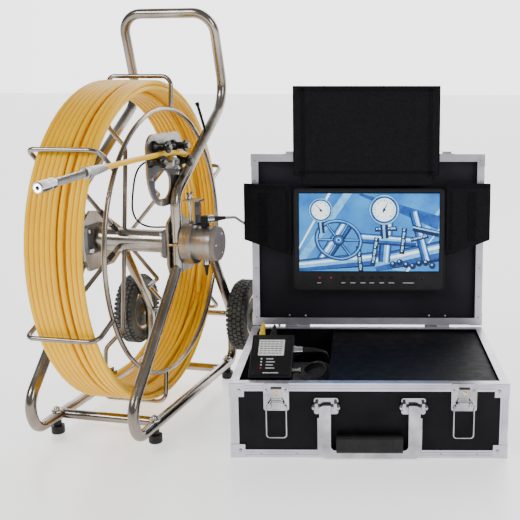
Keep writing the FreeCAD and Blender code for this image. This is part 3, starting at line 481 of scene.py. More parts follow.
def smooth_step(value):
    """0 to 1 with no corner at either end."""
    value = min(max(value, 0.0), 1.0)
    return value * value * (3 - 2 * value)


def coil_route():
    """Outer layer from the far side to the near side, back under it, and a third layer inside.

    The last turn stays clear of the held free end until a short step across to it.
    """
    per_turn = 24
    stretch = 1 / math.cos(math.pi / per_turn)
    first_x, radii = -44.0, (284.0, 275.0, 266.0)
    start, end = math.radians(262), math.radians(-34 + 360)
    outer_turns, middle_turns = 10.0, 10.0
    inner_turns = 6.0 + (end - start) / (2 * math.pi)
    route = []
    total = outer_turns + middle_turns + inner_turns
    for i in range(int(round(total * per_turn)) + 1):
        t = min(i / per_turn, total)
        a = start + 2 * math.pi * t
        if t < outer_turns:
            # near turns spread out over the top of the drum, which leaves a gap beside them
            spread = 8.5 * smooth_step((t - 6.2) / 1.2)
            x = first_x + ROD_D * t + spread
            r = radii[0]
        elif t < outer_turns + middle_turns:
            back = t - outer_turns
            x = 54.5 - 9.0 * back
            r = radii[1]
        else:
            on = t - outer_turns - middle_turns
            x = -35.5 + ROD_D * on + 9.9 * smooth_step((on - inner_turns + 0.1) / 0.1)
            r = radii[2]
        # climb between layers over an eighth of a turn
        for limit, low, high in ((outer_turns, radii[1], radii[0]),
                                 (outer_turns + middle_turns, radii[2], radii[1])):
            if limit <= t < limit + 0.15:
                r = high + (low - high) * smooth_step((t - limit) / 0.15)
        if t < 0.3:
            r = 259.5 + (radii[0] - 259.5) * smooth_step(t / 0.3)
        r = (r + 0.5 * math.sin(3 * a) + 0.35 * math.sin(5 * a + 1)) * stretch
        route.append((x, r * math.cos(a), HUB_Z + r * math.sin(a)))
    return route


def lead_coil_route():
    """Four turns up, four down inside them, then up through the middle to the plug on top."""
    per_turn = 16
    stretch = 1 / math.cos(math.pi / per_turn)
    start = -math.pi / 2
    stations = [(0.0, 29.5, 2.6), (0.25, 30.5, 2.7), (4.0, 30.5, 17.5), (4.25, 25.5, 18.2), (4.6, 25.3, 15.8),
                (7.2, 25.3, 3.0), (7.5, 21.0, 2.6), (7.9, 17.5, 6.0), (8.6, 17.0, 20.0), (8.9, 22.0, 25.0),
                (9.0, 27.0, 27.0)]
    route = []
    for i in range(1, 9 * per_turn - 1):
        t = i / per_turn
        for (t0, r0, z0), (t1, r1, z1) in zip(stations, stations[1:]):
            if t0 <= t <= t1:
                part = (t - t0) / (t1 - t0)
                r, z = r0 + (r1 - r0) * part, z0 + (z1 - z0) * part
        a = start + 2 * math.pi * t
        route.append((LEAD_COIL_X + r * stretch * math.cos(a), LEAD_COIL_Y + r * stretch * math.sin(a), z))
    return route + [(LEAD_COIL_X - 14, LEAD_COIL_Y - 28, 27.1), (LEAD_COIL_X - 10, LEAD_COIL_Y - 28, 27.1)]


def make_cords():
    coil = cord_curve("rod_on_drum", coil_route(), ROD_D, "drum", "rod", 3)
    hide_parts("push_rod_coil")
    # the rod runs on a little way inside the fitting
    inside = [tuple(HEAD_START + HEAD_DIR * along) for along in (20, 36)]
    tail = cord_curve("rod_free_end", TAIL_ROUTE + inside, ROD_D, "stand", "rod", 8)
    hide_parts("push_rod_tail")
    link = cord_curve("link_cord", LINK_ROUTE + lead_coil_route(), LEAD_D, "stand", "lead", 5)
    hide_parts("link_lead", "link_lead_coil")
    encoder = cord_curve("encoder_cord", ENCODER_ROUTE, ENCODER_LEAD_D, "stand", "rubber", 6)
    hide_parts("encoder_lead")


# ---- camera head ------------------------------------------------------------


def make_head():
    bm = bmesh.new()
    boot = [(0, 5.4)]
    for i in range(7):
        along = 2 + i * 5.0
        radius = 6.0 + 0.33 * i
        boot += [(along, radius), (along + 2.6, radius), (along + 3.0, radius - 0.7),
                 (along + 4.6, radius - 0.7)]
    boot += [(38, 8.2), (38.5, 9.0), (41, 9.0), (41.6, 8.3), (43.4, 8.3), (44, 9.0), (50, 9.0), (51, 8.2)]
    lathe(bm, boot, HEAD_START, HEAD_DIR, 32)
    made = piece("fitting_boot", bm, REEL, "stand", "aluminium")
    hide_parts("rod_fitting")
    bm = bmesh.new()
    turns, steps, radius, wire = 20, 14, 5.0, 1.15
    base = toward(HEAD_START + HEAD_DIR * 52.2, HEAD_DIR)
    helix = []
    for i in range(turns * steps + 1):
        a = 2 * math.pi * i / steps
        helix.append(base @ Vector((radius * math.cos(a), radius * math.sin(a), 65.6 * i / (turns * steps))))
    pipe(bm, helix, wire, 8)
    lathe(bm, [(0, 3.4), (66, 3.4)], HEAD_START + HEAD_DIR * 52, HEAD_DIR, 20)
    made = piece("head_spring", bm, REEL, "stand", "plate")
    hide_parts("camera_spring")
    bm = bmesh.new()
    shell = [(0, 5.5), (0.6, 7.2), (3, 7.6), (3.4, 8.5), (12, 8.5), (12.4, 8.1), (13.4, 8.1),
             (13.8, 8.5), (33, 8.5), (34.5, 8.3), (35.6, 7.6), (35.6, 6.6), (34.4, 6.4), (34.4, 3.4),
             (35.2, 3.2), (35.2, 0)]
    lathe(bm, shell, HEAD_START + HEAD_DIR * 119, HEAD_DIR, 40)
    made = piece("head_shell", bm, REEL, "stand", "bright")
    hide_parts("camera_head")
    bm = bmesh.new()
    tip = toward(HEAD_START + HEAD_DIR * 153.3, HEAD_DIR)
    for i in range(10):
        a = 2 * math.pi * i / 10
        spot = tip @ Vector((4.9 * math.cos(a), 4.9 * math.sin(a), 0))
        lathe(bm, [(0, 1.1), (0.8, 1.1), (1.3, 0.8), (1.5, 0)], spot, HEAD_DIR, 10)
    piece("head_lamps", bm, REEL, "stand", "lamp")
    bm = bmesh.new()
    lathe(bm, [(0, 2.6), (1.0, 2.6), (1.5, 1.9), (1.8, 0)], HEAD_START + HEAD_DIR * 153.9, HEAD_DIR, 24)
    piece("head_window", bm, REEL, "stand", "gloss")


def make_link_plug():
    bm = bmesh.new()
    plug_at = Vector((LEAD_COIL_X - 10, LEAD_COIL_Y - 28, 27.1))
    lathe(bm, [(0, 3.0), (2, 3.6), (4, 3.3), (6, 4.0), (8, 3.7), (10, 4.4), (12, 4.1), (14, 4.9),
               (18, 5.5), (18.4, 6.0), (29.6, 6.0), (30, 6.4), (30.6, 7.0), (41.4, 7.0),
               (42, 6.5), (42, 5.2), (37, 5.0), (37, 0)], plug_at, (1, 0, 0), 28)
    made = piece("link_plug_body", bm, REEL, "stand", "rubber")
    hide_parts("link_plug")


# ---- tyres ------------------------------------------------------------------
def make_tyre(name):
    """Carcass with ribs, three rows of tread blocks and shoulder lugs."""
    low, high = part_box("tyre_" + name)
    centre = REEL.inverted() @ ((low + high) / 2)
    bm = bmesh.new()
    half, inner, crown = 19.0, 44.0, 71.0
    section = [(-half + 4, inner), (-half + 1, inner + 3), (-half, inner + 8), (-half, 58), (-half + 2, 64),
               (-half + 6, 69), (-10, crown), (10, crown), (half - 6, 69), (half - 2, 64), (half, 58),
               (half, inner + 8), (half - 1, inner + 3), (half - 4, inner)]
    lathe(bm, section, centre, (1, 0, 0), 72)
    count = 44
    for row, (x0, x1, shift) in enumerate(((-12.4, -4.9, 0.0), (-3.7, 3.7, 0.5), (4.9, 12.4, 0.0))):
        for i in range(count):
            turn = Matrix.Rotation(2 * math.pi * (i + shift) / count, 4, "X")
            outline = bmesh.new()
            block(outline, x0, x1, -4.0, 4.0, 69.5, 75.0, 0.7, 1)
            bmesh.ops.transform(outline, matrix=Matrix.Translation(centre) @ turn, verts=outline.verts)
            merge(bm, outline)
    for s in (-1, 1):
        for i in range(count):
            turn = Matrix.Rotation(2 * math.pi * (i + 0.5) / count, 4, "X")
            lean = Matrix.Translation((s * 15.4, 0, 68.4)) @ Matrix.Rotation(s * math.radians(38), 4, "Y")
            outline = bmesh.new()
            block(outline, -2.9, 2.9, -3.6, 3.6, -2.4, 3.3, 0.7, 1)
            bmesh.ops.transform(outline, matrix=Matrix.Translation(centre) @ turn @ lean, verts=outline.verts)
            merge(bm, outline)
        for radius in (50, 57):
            pipe(bm, circle_yz(centre.x + s * half, centre.y, centre.z, radius, 72), 0.7, 6, True)
    made = piece("tread_" + name, bm, REEL, "wheel_" + name, "tyre")
    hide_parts("tyre_" + name)


# ---- screen -----------------------------------------------------------------
SCREEN_LEFT, SCREEN_LOW, SCREEN_FACE = 3 - 277 / 2, 113.0, -10.55


class Picture:
    """Flat tones of one generic picture, each a little in front of the last."""

    def __init__(self):
        self.tones = {tone: bmesh.new() for tone in ("ground", "deep", "mid", "light", "white")}
        self.depth = SCREEN_FACE

    def shape(self, tone, outline):
        self.depth -= 0.006
        bm = self.tones[tone]
        inside = [(min(max(u, 0), 277), min(max(v, 0), 154)) for u, v in outline]
        ring = list(dict.fromkeys(inside))
        if len(ring) > 2:
            bm.faces.new([bm.verts.new((SCREEN_LEFT + u, self.depth, SCREEN_LOW + v)) for u, v in ring])

    def disc(self, tone, u, v, radius, flat=1.0, turn=0.0):
        c, s = math.cos(turn), math.sin(turn)
        ring = []
        for i in range(48):
            a = 2 * math.pi * i / 48
            p, q = radius * math.cos(a), radius * flat * math.sin(a)
            ring.append((u + p * c - q * s, v + p * s + q * c))
        self.shape(tone, ring)

    def hoop(self, tone, u, v, radius, width, flat=1.0, turn=0.0):
        """Ring as a row of short bars, so that what is behind shows through it."""
        c, s = math.cos(turn), math.sin(turn)
        self.depth -= 0.006
        bm = self.tones[tone]
        rows = []
        for i in range(56):
            a = 2 * math.pi * i / 56
            row = []
            for r in (radius - width / 2, radius + width / 2):
                p, q = r * math.cos(a), r * flat * math.sin(a)
                x, y = u + p * c - q * s, v + p * s + q * c
                row.append(bm.verts.new((SCREEN_LEFT + x, self.depth, SCREEN_LOW + min(max(y, 0), 154))))
            rows.append(row)
        for i, row in enumerate(rows):
            after = rows[(i + 1) % len(rows)]
            bm.faces.new((row[0], row[1], after[1], after[0]))

    def bar(self, tone, u0, v0, u1, v1, width, end_width=None):
        along = Vector((u1 - u0, v1 - v0)).normalized()
        side = Vector((-along.y, along.x))
        a, b = width / 2, (end_width or width) / 2
        self.shape(tone, [(u0 + side.x * a, v0 + side.y * a), (u0 - side.x * a, v0 - side.y * a),
                          (u1 - side.x * b, v1 - side.y * b), (u1 + side.x * b, v1 + side.y * b)])

    def tube(self, u0, v0, u1, v1, width):
        """Pipe with a dark edge, a lit middle and a thin highlight."""
        along = Vector((u1 - u0, v1 - v0)).normalized()
        side = Vector((-along.y, along.x)) * width
        for tone, part, shift in (("deep", 1.0, 0.0), ("mid", 0.8, 0.05), ("light", 0.42, 0.14),
                                  ("white", 0.13, 0.2)):
            self.bar(tone, u0 + side.x * shift, v0 + side.y * shift,
                     u1 + side.x * shift, v1 + side.y * shift, width * part)

    def gauge(self, u, v, radius, needle):
        self.bar("deep", u, v - radius, u + 2, v - radius * 1.9, radius * 0.5)
        self.bar("light", u - 1, v - radius, u + 1, v - radius * 1.9, radius * 0.16)
        self.disc("deep", u, v, radius)
        self.hoop("light", u, v, radius * 0.93, radius * 0.09)
        self.disc("mid", u, v, radius * 0.84)
        self.disc("white", u, v, radius * 0.76)
        for i in range(19):
            a = math.radians(225 - 15 * i)
            reach = 0.52 if i % 3 == 0 else 0.6
            c, s = math.cos(a), math.sin(a)
            self.bar("deep", u + radius * reach * c, v + radius * reach * s, u + radius * 0.69 * c,
                     v + radius * 0.69 * s, radius * 0.045)
        a = math.radians(needle)
        self.bar("deep", u - radius * 0.2 * math.cos(a), v - radius * 0.2 * math.sin(a),
                 u + radius * 0.6 * math.cos(a), v + radius * 0.6 * math.sin(a), radius * 0.1, radius * 0.03)
        self.disc("deep", u, v, radius * 0.1)

    def hand_wheel(self, u, v, radius, flat, turn):
        for tone, width, shift in (("deep", 9.0, 0.0), ("mid", 6.0, 0.6), ("light", 2.0, 1.4)):
            self.hoop(tone, u + shift * 0.4, v + shift * 0.6, radius, width, flat, turn)
        c, s = math.cos(turn), math.sin(turn)
        for i in range(6):
            a = math.radians(18 + 60 * i)
            p, q = radius * 0.93 * math.cos(a), radius * 0.93 * flat * math.sin(a)
            x, y = u + p * c - q * s, v + p * s + q * c
            self.bar("deep", u, v, x, y, 7.5, 5.0)
            self.bar("mid", u, v, x, y, 4.0, 2.6)
            self.bar("light", u, v + 0.6, x, y + 0.6, 1.2)
        for tone, size in (("deep", 0.27), ("mid", 0.21), ("light", 0.12), ("deep", 0.06)):
            self.disc(tone, u, v, radius * size, 0.9)

    def flange(self, u, v, length, angle, width=8.0):
        a = math.radians(angle)
        du, dv = math.cos(a) * length / 2, math.sin(a) * length / 2
        self.bar("deep", u - du, v - dv, u + du, v + dv, width)
        self.bar("light", u - du * 0.94, v - dv * 0.94 + 1, u + du * 0.94, v + dv * 0.94 + 1, width * 0.45)
        for k in (-0.8, -0.27, 0.27, 0.8):
            self.disc("deep", u + du * k, v + dv * k, width * 0.36)
            self.disc("white", u + du * k - 0.7, v + dv * k + 0.8, width * 0.14)

    def finish(self):
        for tone, bm in self.tones.items():
            piece("screen_" + tone, bm, LID, "lid", "picture_" + tone)


def make_screen():
    p = Picture()
    p.shape("ground", [(0, 0), (277, 0), (277, 154), (0, 154)])
    p.bar("light", -10, 20, 96, 160, 34, 22)
    p.bar("white", -14, 46, 60, 158, 10, 6)
    p.bar("light", 196, -6, 290, 120, 30, 18)
    p.bar("mid", 120, 160, 280, 96, 18, 30)
    p.bar("white", 214, -6, 284, 84, 6, 3)
    p.tube(46, 20, 96, 96, 26)
    p.tube(-8, 8, 170, 26, 30)
    p.tube(150, 12, 285, 40, 42)
    p.tube(176, 118, 168, 18, 24)
    p.tube(120, 66, 232, 58, 20)
    p.tube(226, 118, 252, 20, 18)
    p.flange(150, 40, 56, 82, 10)
    p.flange(120, 24, 52, 96, 10)
    p.flange(206, 60, 52, 84, 10)
    p.flange(172, 84, 44, 2, 9)
    p.flange(238, 66, 36, 14, 8)
    p.hand_wheel(78, 62, 44, 0.84, math.radians(-16))
    p.gauge(43, 121, 24, 128)
    p.gauge(168, 122, 30, 64)
    for i in range(7):
        p.disc("deep", 186 + 13 * i, 14 + 4 * math.sin(i * 1.7), 6.4)
        p.disc("light", 185 + 13 * i, 16 + 4 * math.sin(i * 1.7), 2.2)
    p.bar("deep", 225, 86, 277, 74, 12)
    p.bar("light", 225, 88, 277, 77, 3)
    p.finish()


def rounded_outline(x0, x1, z0, z1, radius, y, count=7):
    points = []
    for cx, cz, start in ((x1 - radius, z1 - radius, 0), (x0 + radius, z1 - radius, 90),
                          (x0 + radius, z0 + radius, 180), (x1 - radius, z0 + radius, 270)):
        for i in range(count):
            a = math.radians(start + 90 * i / (count - 1))
            points.append((cx + radius * math.cos(a), y, cz + radius * math.sin(a)))
    return points


def make_monitor():
    x0, x1, z0, z1 = 3 - 150, 3 + 150, 74, 277
    bm = bmesh.new()
    pipe(bm, rounded_outline(x0 + 1.6, x1 - 1.6, z0 + 1.6, z1 - 1.6, 9.6, -12.0), 1.2, 8, True)
    pipe(bm, rounded_outline(3 - 139.4, 3 + 139.4, 112, 268.2, 1.5, -12.0), 0.9, 8, True)
    piece("bezel_lips", bm, LID, "lid", "plastic")
    bm = bmesh.new()
    for a in range(68, 98, 4):
        block(bm, a - 1.2, a + 1.2, -12.9, -11.8, 97.2, 102.8, 0.4, 1)
    lathe(bm, [(0, 2.6), (0.8, 2.6), (1.2, 2.0), (1.3, 0)], (109, -11.8, 100), (0, -1, 0), 18)
    piece("bezel_receiver", bm, LID, "lid", "gloss")
    bm = bmesh.new()
    for i, a in enumerate((-48, -29, -10, 9, 28, 47)):
        block(bm, a - 4 - i % 2, a + 4 + i % 3, -12.35, -11.9, 89.2, 90.6, 0.1, 1)
    block(bm, -100, -92, -12.35, -11.9, 89.2, 90.4, 0.1, 1)
    block(bm, 70, 92, -12.35, -11.9, 89.2, 90.4, 0.1, 1)
    piece("bezel_marks", bm, LID, "lid", "label")
    bm = bmesh.new()
    for a in (-95, -72):
        lathe(bm, [(0, 1.7), (0.8, 1.7), (1.4, 1.0), (1.5, 0)], (a, -11.7, 100), (0, -1, 0), 14)
    piece("bezel_lamps", bm, LID, "lid", "red")


def shade(name, outline, hem, straps):
    """Cloth-covered board with a bound edge and sewn-on strips."""
    bm = bmesh.new()
    prism(bm, [(a, -17.4, h) for a, h in outline], (0, 2.8, 0), 0.9, 2)
    made = piece("shade_%s_board" % name, bm, LID, "shade_" + name, "cloth")
    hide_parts("shade_" + name)
    middle = Vector((sum(p[0] for p in outline), sum(p[1] for p in outline))) / len(outline)
    bm = bmesh.new()
    inset = []
    for a, h in outline:
        inward = (middle - Vector((a, h))).normalized() * 1.8
        inset.append((a + inward.x, -16.0, h + inward.y))
    pipe(bm, inset, 1.9, 8, True)
    for (a0, h0), (a1, h1), width in hem + straps:
        along = Vector((a1 - a0, h1 - h0)).normalized()
        side = Vector((-along.y, along.x)) * width / 2
        corners = [(a0 + side.x, -18.0, h0 + side.y), (a0 - side.x, -18.0, h0 - side.y),
                   (a1 - side.x, -18.0, h1 - side.y), (a1 + side.x, -18.0, h1 + side.y)]
        prism(bm, corners, (0, 0.9, 0), 0.3, 1)
    piece("shade_%s_binding" % name, bm, LID, "shade_" + name, "velcro")


def make_shades():
    shade("top", [(-132, 283), (-132, 300), (-146, 302), (-146, 474),
                  (140, 474), (140, 302), (128, 300), (128, 283)],
          [((-136, 468), (130, 468), 8), ((-136, 308), (130, 308), 6)],
          [((-127, 300), (-127, 470), 9), ((121, 300), (121, 470), 9)])
    shade("left", [(-149, 282), (-243, 287), (-243, 176), (-150, 144)],
          [((-236, 280), (-160, 277), 6)], [((-206, 268), (-206, 172), 17), ((-158, 272), (-158, 156), 6)])
    shade("right", [(155, 144), (240, 176), (240, 287), (154, 286)],
          [((164, 280), (234, 281), 6)], [((204, 270), (204, 174), 17), ((163, 272), (163, 156), 6)])


# ---- case -------------------------------------------------------------------
LATCHES, BRACKETS = (-153, 156), (-71, 73)     # middles, across the case


def screw(bm, x, y, z, direction, radius=2.6):
    lathe(bm, [(0, radius), (0.5, radius), (1.0, radius * 0.75), (1.2, radius * 0.3), (0.8, 0)],
          (x, y, z), direction, 16)


def make_case_details():
    half, top = 230.0, BASE_H
    bm = bmesh.new()
    for z in (5.0, 9.5, top - 5.0, top - 9.5):
        block(bm, -half + 26, half - 26, -0.7, 0.2, z - 0.8, z + 0.8, 0.3, 1)
        for side in (-1, 1):
            block(bm, side * half - 0.7, side * half + 0.7, 26, 314, z - 0.8, z + 0.8, 0.3, 1)
    for x in (5.0, 9.5):
        for side in (-1, 1):
            at = side * (half - x)
            block(bm, at - 0.8, at + 0.8, -0.7, 0.2, 26, top - 26, 0.3, 1)
            block(bm, at - 0.8, at + 0.8, 339.8, 340.7, 26, top - 26, 0.3, 1)
    piece("base_trim_ribs", bm, CASE, "stand", "trim")
    bm = bmesh.new()
    for x in range(-180, 181, 60):
        screw(bm, x, 0.0, 7.2, (0, -1, 0), 1.5)
    piece("base_rivets", bm, CASE, "stand", "chrome")
    bm = bmesh.new()
    for a in LATCHES:
        for side in (-1, 1):
            screw(bm, a + side * 16, -1.9, 119, (0, -1, 0), 2.8)
    for a in BRACKETS:
        for side in (-1, 1):
            lathe(bm, [(0, 4.6), (1, 5.2), (5, 5.2), (6, 4.4), (6.4, 0)], (a + side * 17, -7, 92),
                  (side, 0, 0), 20)
    for side in (-1, 1):
        for z in (13.0, BASE_H - 13.0):
            screw(bm, side * 214, -1.1, z, (0, -1, 0), 3.4)
    piece("case_screws", bm, CASE, "stand", "chrome")
    bm = bmesh.new()
    for a in LATCHES:
        lathe(bm, [(0, 3.6), (1.0, 3.6), (1.6, 2.8), (1.6, 0)], (a, -6.8, 116), (0, -1, 0), 24)
    piece("latch_locks", bm, CASE, "stand", "brass")
    bm = bmesh.new()
    for x in range(-50, 51, 6):
        block(bm, 1 + x - 1.2, 1 + x + 1.2, -18.3, -17.7, 18, 41, 0.25, 1)
    piece("grip_ribs", bm, CASE, "carrying_handle", "rubber")
    bm = bmesh.new()
    for a in LATCHES:
        pipe(bm, [(a - 12, -7.4, 92), (a - 12, -9, 97), (a - 8, -9.6, 104), (a + 8, -9.6, 104),
                  (a + 12, -9, 97),
                  (a + 12, -7.4, 92)], 1.2, 8)
        block(bm, a - 12, a + 12, -3.0, -1.9, 86, 99, 0.5, 1)
    piece("latch_levers", bm, CASE, "stand", "chrome")
    # foam strip and lip round the inside of the base
    bm = bmesh.new()
    block(bm, -222, 222, 7.2, 9.6, 96, 121, 0.6, 1)
    for side in (-1, 1):
        block(bm, side * 221.4 - 1.2, side * 221.4 + 1.2, 9.6, 330, 96, 120.4, 0.6, 1)
    piece("base_lining", bm, CASE, "stand", "lining")
    # lid: ribs on its rim, rivets
    bm = bmesh.new()
    for x in (-229.2, 229.2):
        block(bm, x - 0.9, x + 0.9, 12, 14, 30, 318, 0.3, 1)
        block(bm, x - 0.9, x + 0.9, 38, 40, 30, 318, 0.3, 1)
    for y in (12, 38):
        block(bm, -204, 204, y, y + 2, 342.4, 343.8, 0.3, 1)
    piece("lid_trim_ribs", bm, LID, "lid", "trim")
    bm = bmesh.new()
    for x in (-140, 140):
        for s in (-1, 1):
            screw(bm, x + s * 16, 0.2, 22, (0, -1, 0), 1.8)
    for x in (-223, 223):
        for z in (18, 60, 118, 176, 234, 292, 330):
            screw(bm, x, 0.4, z, (0, -1, 0), 1.5)
    piece("lid_rivets", bm, LID, "lid", "chrome")


SIDE_PLUG_Y = 76          # the socket on the control box's right side


def make_control_box():
    bm = bmesh.new()
    block(bm, 4, 68, 4, 96, -0.2, 0.7, 0.6, 2)
    for x, y in ((8, 8), (64, 8), (8, 92), (64, 92)):
        lathe(bm, [(0, 3.0), (0.6, 3.0), (0.9, 2.4), (0.4, 1.6), (0.4, 0)], (x, y, 0.6), (0, 0, 1), 16)
    piece("control_faceplate", bm, CONTROL, "stand", "plastic")
    bm = bmesh.new()
    block(bm, 13, 57, 49, 86, 0.6, 1.0, 0.15, 1)
    piece("control_label", bm, CONTROL, "stand", "white")
    bm = bmesh.new()
    for row in range(6):
        x = 15.0
        while x < 52:
            word = 3.0 + 3.2 * abs(math.sin(3.1 * row + 0.9 * x))
            block(bm, x, min(x + word, 55), 53.4 + 5.4 * row, 55.0 + 5.4 * row, 0.9, 1.1, 0, 1)
            x += word + 1.4
    piece("control_lines", bm, CONTROL, "stand", "black")
    bm = bmesh.new()
    for row, y in enumerate((41, 34, 27, 20)):
        block(bm, 28, 40 + 3 * (row % 2), y - 0.9, y + 0.9, 0.6, 0.9, 0, 1)
    block(bm, 24, 50, 8.4, 10.2, 0.6, 0.9, 0, 1)
    piece("control_marks", bm, CONTROL, "stand", "label")
    bm = bmesh.new()
    for y in (41, 34, 27):
        lathe(bm, [(0, 1.5), (0.8, 1.5), (1.5, 1.0), (1.7, 0)], (20, y, 0.5), (0, 0, 1), 14)
    piece("control_lamps", bm, CONTROL, "stand", "white")
    bm = bmesh.new()
    lathe(bm, [(0, 1.5), (0.8, 1.5), (1.5, 1.0), (1.7, 0)], (20, 20, 0.5), (0, 0, 1), 14)
    piece("control_red_lamp", bm, CONTROL, "stand", "red")
    # sockets on the back edge and the right side
    bm = bmesh.new()
    for x in (14, 34):
        lathe(bm, [(0, 6.4), (3, 6.4), (3.4, 5.4), (8, 5.4), (8.4, 4.4), (11, 4.4)],
              (x, 99, -15), (0, 1, 0), 24)
    lathe(bm, [(0, 8.6), (3, 8.6), (3.5, 7.4), (12, 7.4), (12.5, 6.6), (16, 6.6)],
          (71.5, SIDE_PLUG_Y, -15), (1, 0, 0), 24)
    lathe(bm, [(0, 6.6), (1.6, 6.6), (1.8, 4.6), (4.5, 4.6)], (71.5, 30, -16), (1, 0, 0), 6)
    piece("control_sockets", bm, CONTROL, "stand", "bright")
    bm = bmesh.new()
    lathe(bm, [(0, 5.6), (9, 5.6), (9.5, 5.0), (22, 4.0), (30, 3.2), (30, 0)], (14, 109, -15), (0, 1, 0), 24)
    pipe(bm, [(14, 136, -15), (14, 143, -17), (12, 147, -26), (10, 147, -44), (10, 144, -62)], 2.6, 10)
    piece("control_yellow_plug", bm, CONTROL, "stand", "yellow")
    bm = bmesh.new()
    lathe(bm, [(0, 5.6), (9, 5.6), (9.5, 5.0), (20, 4.0), (24, 3.2), (24, 0)], (34, 109, -15), (0, 1, 0), 24)
    pipe(bm, [(34, 130, -15), (34, 138, -17), (34, 141, -28), (32, 140, -58)], 2.6, 10)
    boot = [(0, 6.2)]
    for i in range(8):
        boot += [(1 + i * 3.2, 6.2 - 0.3 * i), (3 + i * 3.2, 6.2 - 0.3 * i),
                 (3.2 + i * 3.2, 5.2 - 0.3 * i), (4.0 + i * 3.2, 5.2 - 0.3 * i)]
    lathe(bm, boot + [(28, 3.2), (28, 0)], (86.5, SIDE_PLUG_Y, -15), (1, 0, 0), 24)
    pipe(bm, [(112, SIDE_PLUG_Y, -15), (121, SIDE_PLUG_Y, -17), (127, 78, -24), (130, 82, -38),
              (131, 86, -56)], 3.1, 10)
    piece("control_leads", bm, CONTROL, "stand", "rubber")
    # spare lead lying in the compartment
    bm = bmesh.new()
    for turn in range(3):
        r = 27 - 2.5 * turn
        loop = [(-102 + r * math.cos(2 * math.pi * i / 28),
                 245 + (r + 24) * math.sin(2 * math.pi * i / 28),
                 66 + 3.0 * turn + 2.0 * math.sin(4 * math.pi * i / 28)) for i in range(28)]
        pipe(bm, loop, 2.3, 8, True)
    block(bm, -215, -70, 150, 330, 8, 60, 3, 2)
    piece("compartment_lead", bm, CASE, "stand", "iron")


# ---- stand and drum ---------------------------------------------------------
SLIP_END = 125.5          # near edge of the slip ring's flange


def make_reel_details():
    bm = bmesh.new()
    pipe(bm, [(94, 98, 570), (94, 109, 554), (94, 133, 518)], 2.8, 12)
    lathe(bm, [(0, 3.4), (1, 4.0), (5, 4.0), (6, 0)], (94, 98, 570), (0, -0.56, 0.83), 20)
    lathe(bm, [(0, 5.0), (8, 5.0), (9, 4.2), (9, 0)], (94, 131, 521), (0, 0.56, -0.83), 20)
    piece("drum_lock_rod", bm, REEL, "stand", "gloss")
    bm = bmesh.new()
    for angle, reach in ((142, 96), (142, 48), (202, 60)):
        a = math.radians(angle)
        y, z = reach * math.cos(a), reach * math.sin(a)
        dy, dz = 10 * math.cos(a), 10 * math.sin(a)
        pipe(bm, [(-19, y - dy, HUB_Z + z - dz), (-19, y + dy, HUB_Z + z + dz)], 5.0, 14)
    piece("spoke_straps", bm, REEL, "drum", "rubber")
    bm = bmesh.new()
    for y in (-142, 208):
        for x in (-94, 94):
            lathe(bm, [(0, 8.6), (1, 9.4), (3, 9.4), (5, 7.6), (6, 0)], (x, y, 19 + 20.5), (0, 0, 1), 20)
    piece("foot_nuts_domed", bm, REEL, "stand", "bright")
    bm = bmesh.new()
    for i in range(3):
        a = math.radians(60 + 120 * i)
        lathe(bm, [(0, 3.4), (1.2, 3.4), (2.2, 2.4), (2.4, 0)],
              (167.9, 20 * math.cos(a), HUB_Z + 20 * math.sin(a)), (1, 0, 0), 6)
    lathe(bm, [(0, 37.6), (1.4, 37.6), (1.6, 36.8), (1.6, 31.6)], (SLIP_END, 0, HUB_Z), (-1, 0, 0), 64)
    piece("slip_ring_screws", bm, REEL, "stand", "bright")
    bm = bmesh.new()
    turn = math.radians(45)
    out = Vector((math.cos(turn), math.sin(turn), 0))
    foot = Vector((141, 0, HUB_Z + 43))
    lathe(bm, [(3, 6.2), (3, 7.0), (7, 7.0), (7.4, 6.4), (8.6, 6.4), (9, 7.2), (15.6, 7.2),
               (16, 6.2)], foot, out, 28)
    lathe(bm, [(0, 5.6), (3, 5.6), (3, 6.2), (8, 6.2), (8.5, 5.2)], (141, 0, HUB_Z - 31), (0, 0, -1), 6)
    piece("socket_nuts", bm, REEL, "stand", "bright")
    # tension spring and bolts of the guide
    bm = bmesh.new()
    start, direction = Vector((91, 10, 462)), Vector((0, -34, 20)).normalized()
    base = toward(start, direction)
    helix = [base @ Vector((3.4 * math.cos(i / 10 * 2 * math.pi),
                            3.4 * math.sin(i / 10 * 2 * math.pi), 0.26 * i))
             for i in range(131)]
    pipe(bm, helix, 0.8, 6)
    for y, z in ((-73, 506), (2, 503), (-95, 482.5), (16, 475.5)):
        lathe(bm, [(0, 3.2), (1.0, 3.2), (1.8, 2.4), (2.2, 0)], (111.2, y, z), (1, 0, 0), 18)
    for y, z in ((18, 452), (12, 431), (-88, 452), (-60, 408)):
        lathe(bm, [(0, 4.6), (2.8, 4.6), (3.6, 3.6), (3.8, 0)], (84.4, y, z), (1, 0, 0), 6)
    piece("guide_hardware", bm, REEL, "stand", "bright")


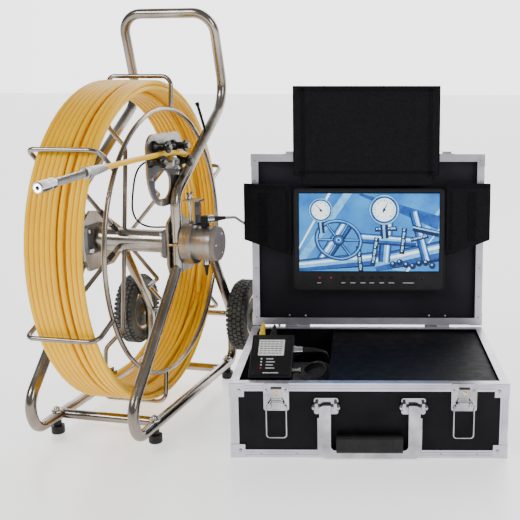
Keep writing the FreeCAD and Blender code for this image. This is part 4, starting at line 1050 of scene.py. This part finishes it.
# ---- stage and light --------------------------------------------------------
def make_stage():
    bm = bmesh.new()
    bmesh.ops.create_grid(bm, x_segments=1, y_segments=1, size=30)
    mesh = bpy.data.meshes.new("floor")
    bm.to_mesh(mesh)
    bm.free()
    mesh.materials.append(lit("floor", (0.94, 0.94, 0.94), (0.96, 0.96, 0.96), 1.5, 0.95))
    floor = bpy.data.objects.new("floor", mesh)
    bpy.context.scene.collection.objects.link(floor)
    floor.location.z = -0.0004
    world = bpy.data.worlds.new("studio")
    bpy.context.scene.world = world
    world.use_nodes = True
    tree = world.node_tree
    background = tree.nodes["Background"]
    background.inputs["Color"].default_value = (1, 1, 1, 1)
    split = tree.nodes.new("ShaderNodeSeparateXYZ")
    bright = tree.nodes.new("ShaderNodeMapRange")
    tree.links.new(tree.nodes.new("ShaderNodeTexCoord").outputs["Generated"], split.inputs["Vector"])
    tree.links.new(split.outputs["Y"], bright.inputs["Value"])
    # a bright room behind the object and a dimmer one in front, which the metal and the boards reflect
    for key, value in (("From Min", 0.35), ("From Max", 0.85), ("To Min", 0.30), ("To Max", 3.4)):
        bright.inputs[key].default_value = value
    tree.links.new(bright.outputs["Result"], background.inputs["Strength"])


def area_light(name, place, target, size, power):
    data = bpy.data.lights.new(name, "AREA")
    data.shape = "RECTANGLE"
    data.size, data.size_y = size
    data.energy = power
    lamp = bpy.data.objects.new(name, data)
    bpy.context.scene.collection.objects.link(lamp)
    lamp.location = place
    lamp.rotation_euler = (Vector(target) - Vector(place)).to_track_quat("-Z", "Y").to_euler()


def make_lights():
    area_light("key", (-1.6, -2.4, 2.4), (0, 0, 0.35), (1.2, 0.9), 62)
    area_light("fill", (2.4, -1.8, 1.6), (0.1, 0, 0.3), (0.7, 1.3), 26)
    area_light("back", (0.4, 2.2, 2.2), (0, 0, 0.3), (2.0, 0.8), 20)


make_camera()
make_materials()
make_head()
make_link_plug()
make_cords()
dress_nodes()
for name in ("right", "left"):
    make_tyre(name)
make_screen()
make_monitor()
make_shades()
make_case_details()
make_control_box()
make_reel_details()
make_stage()
make_lights()
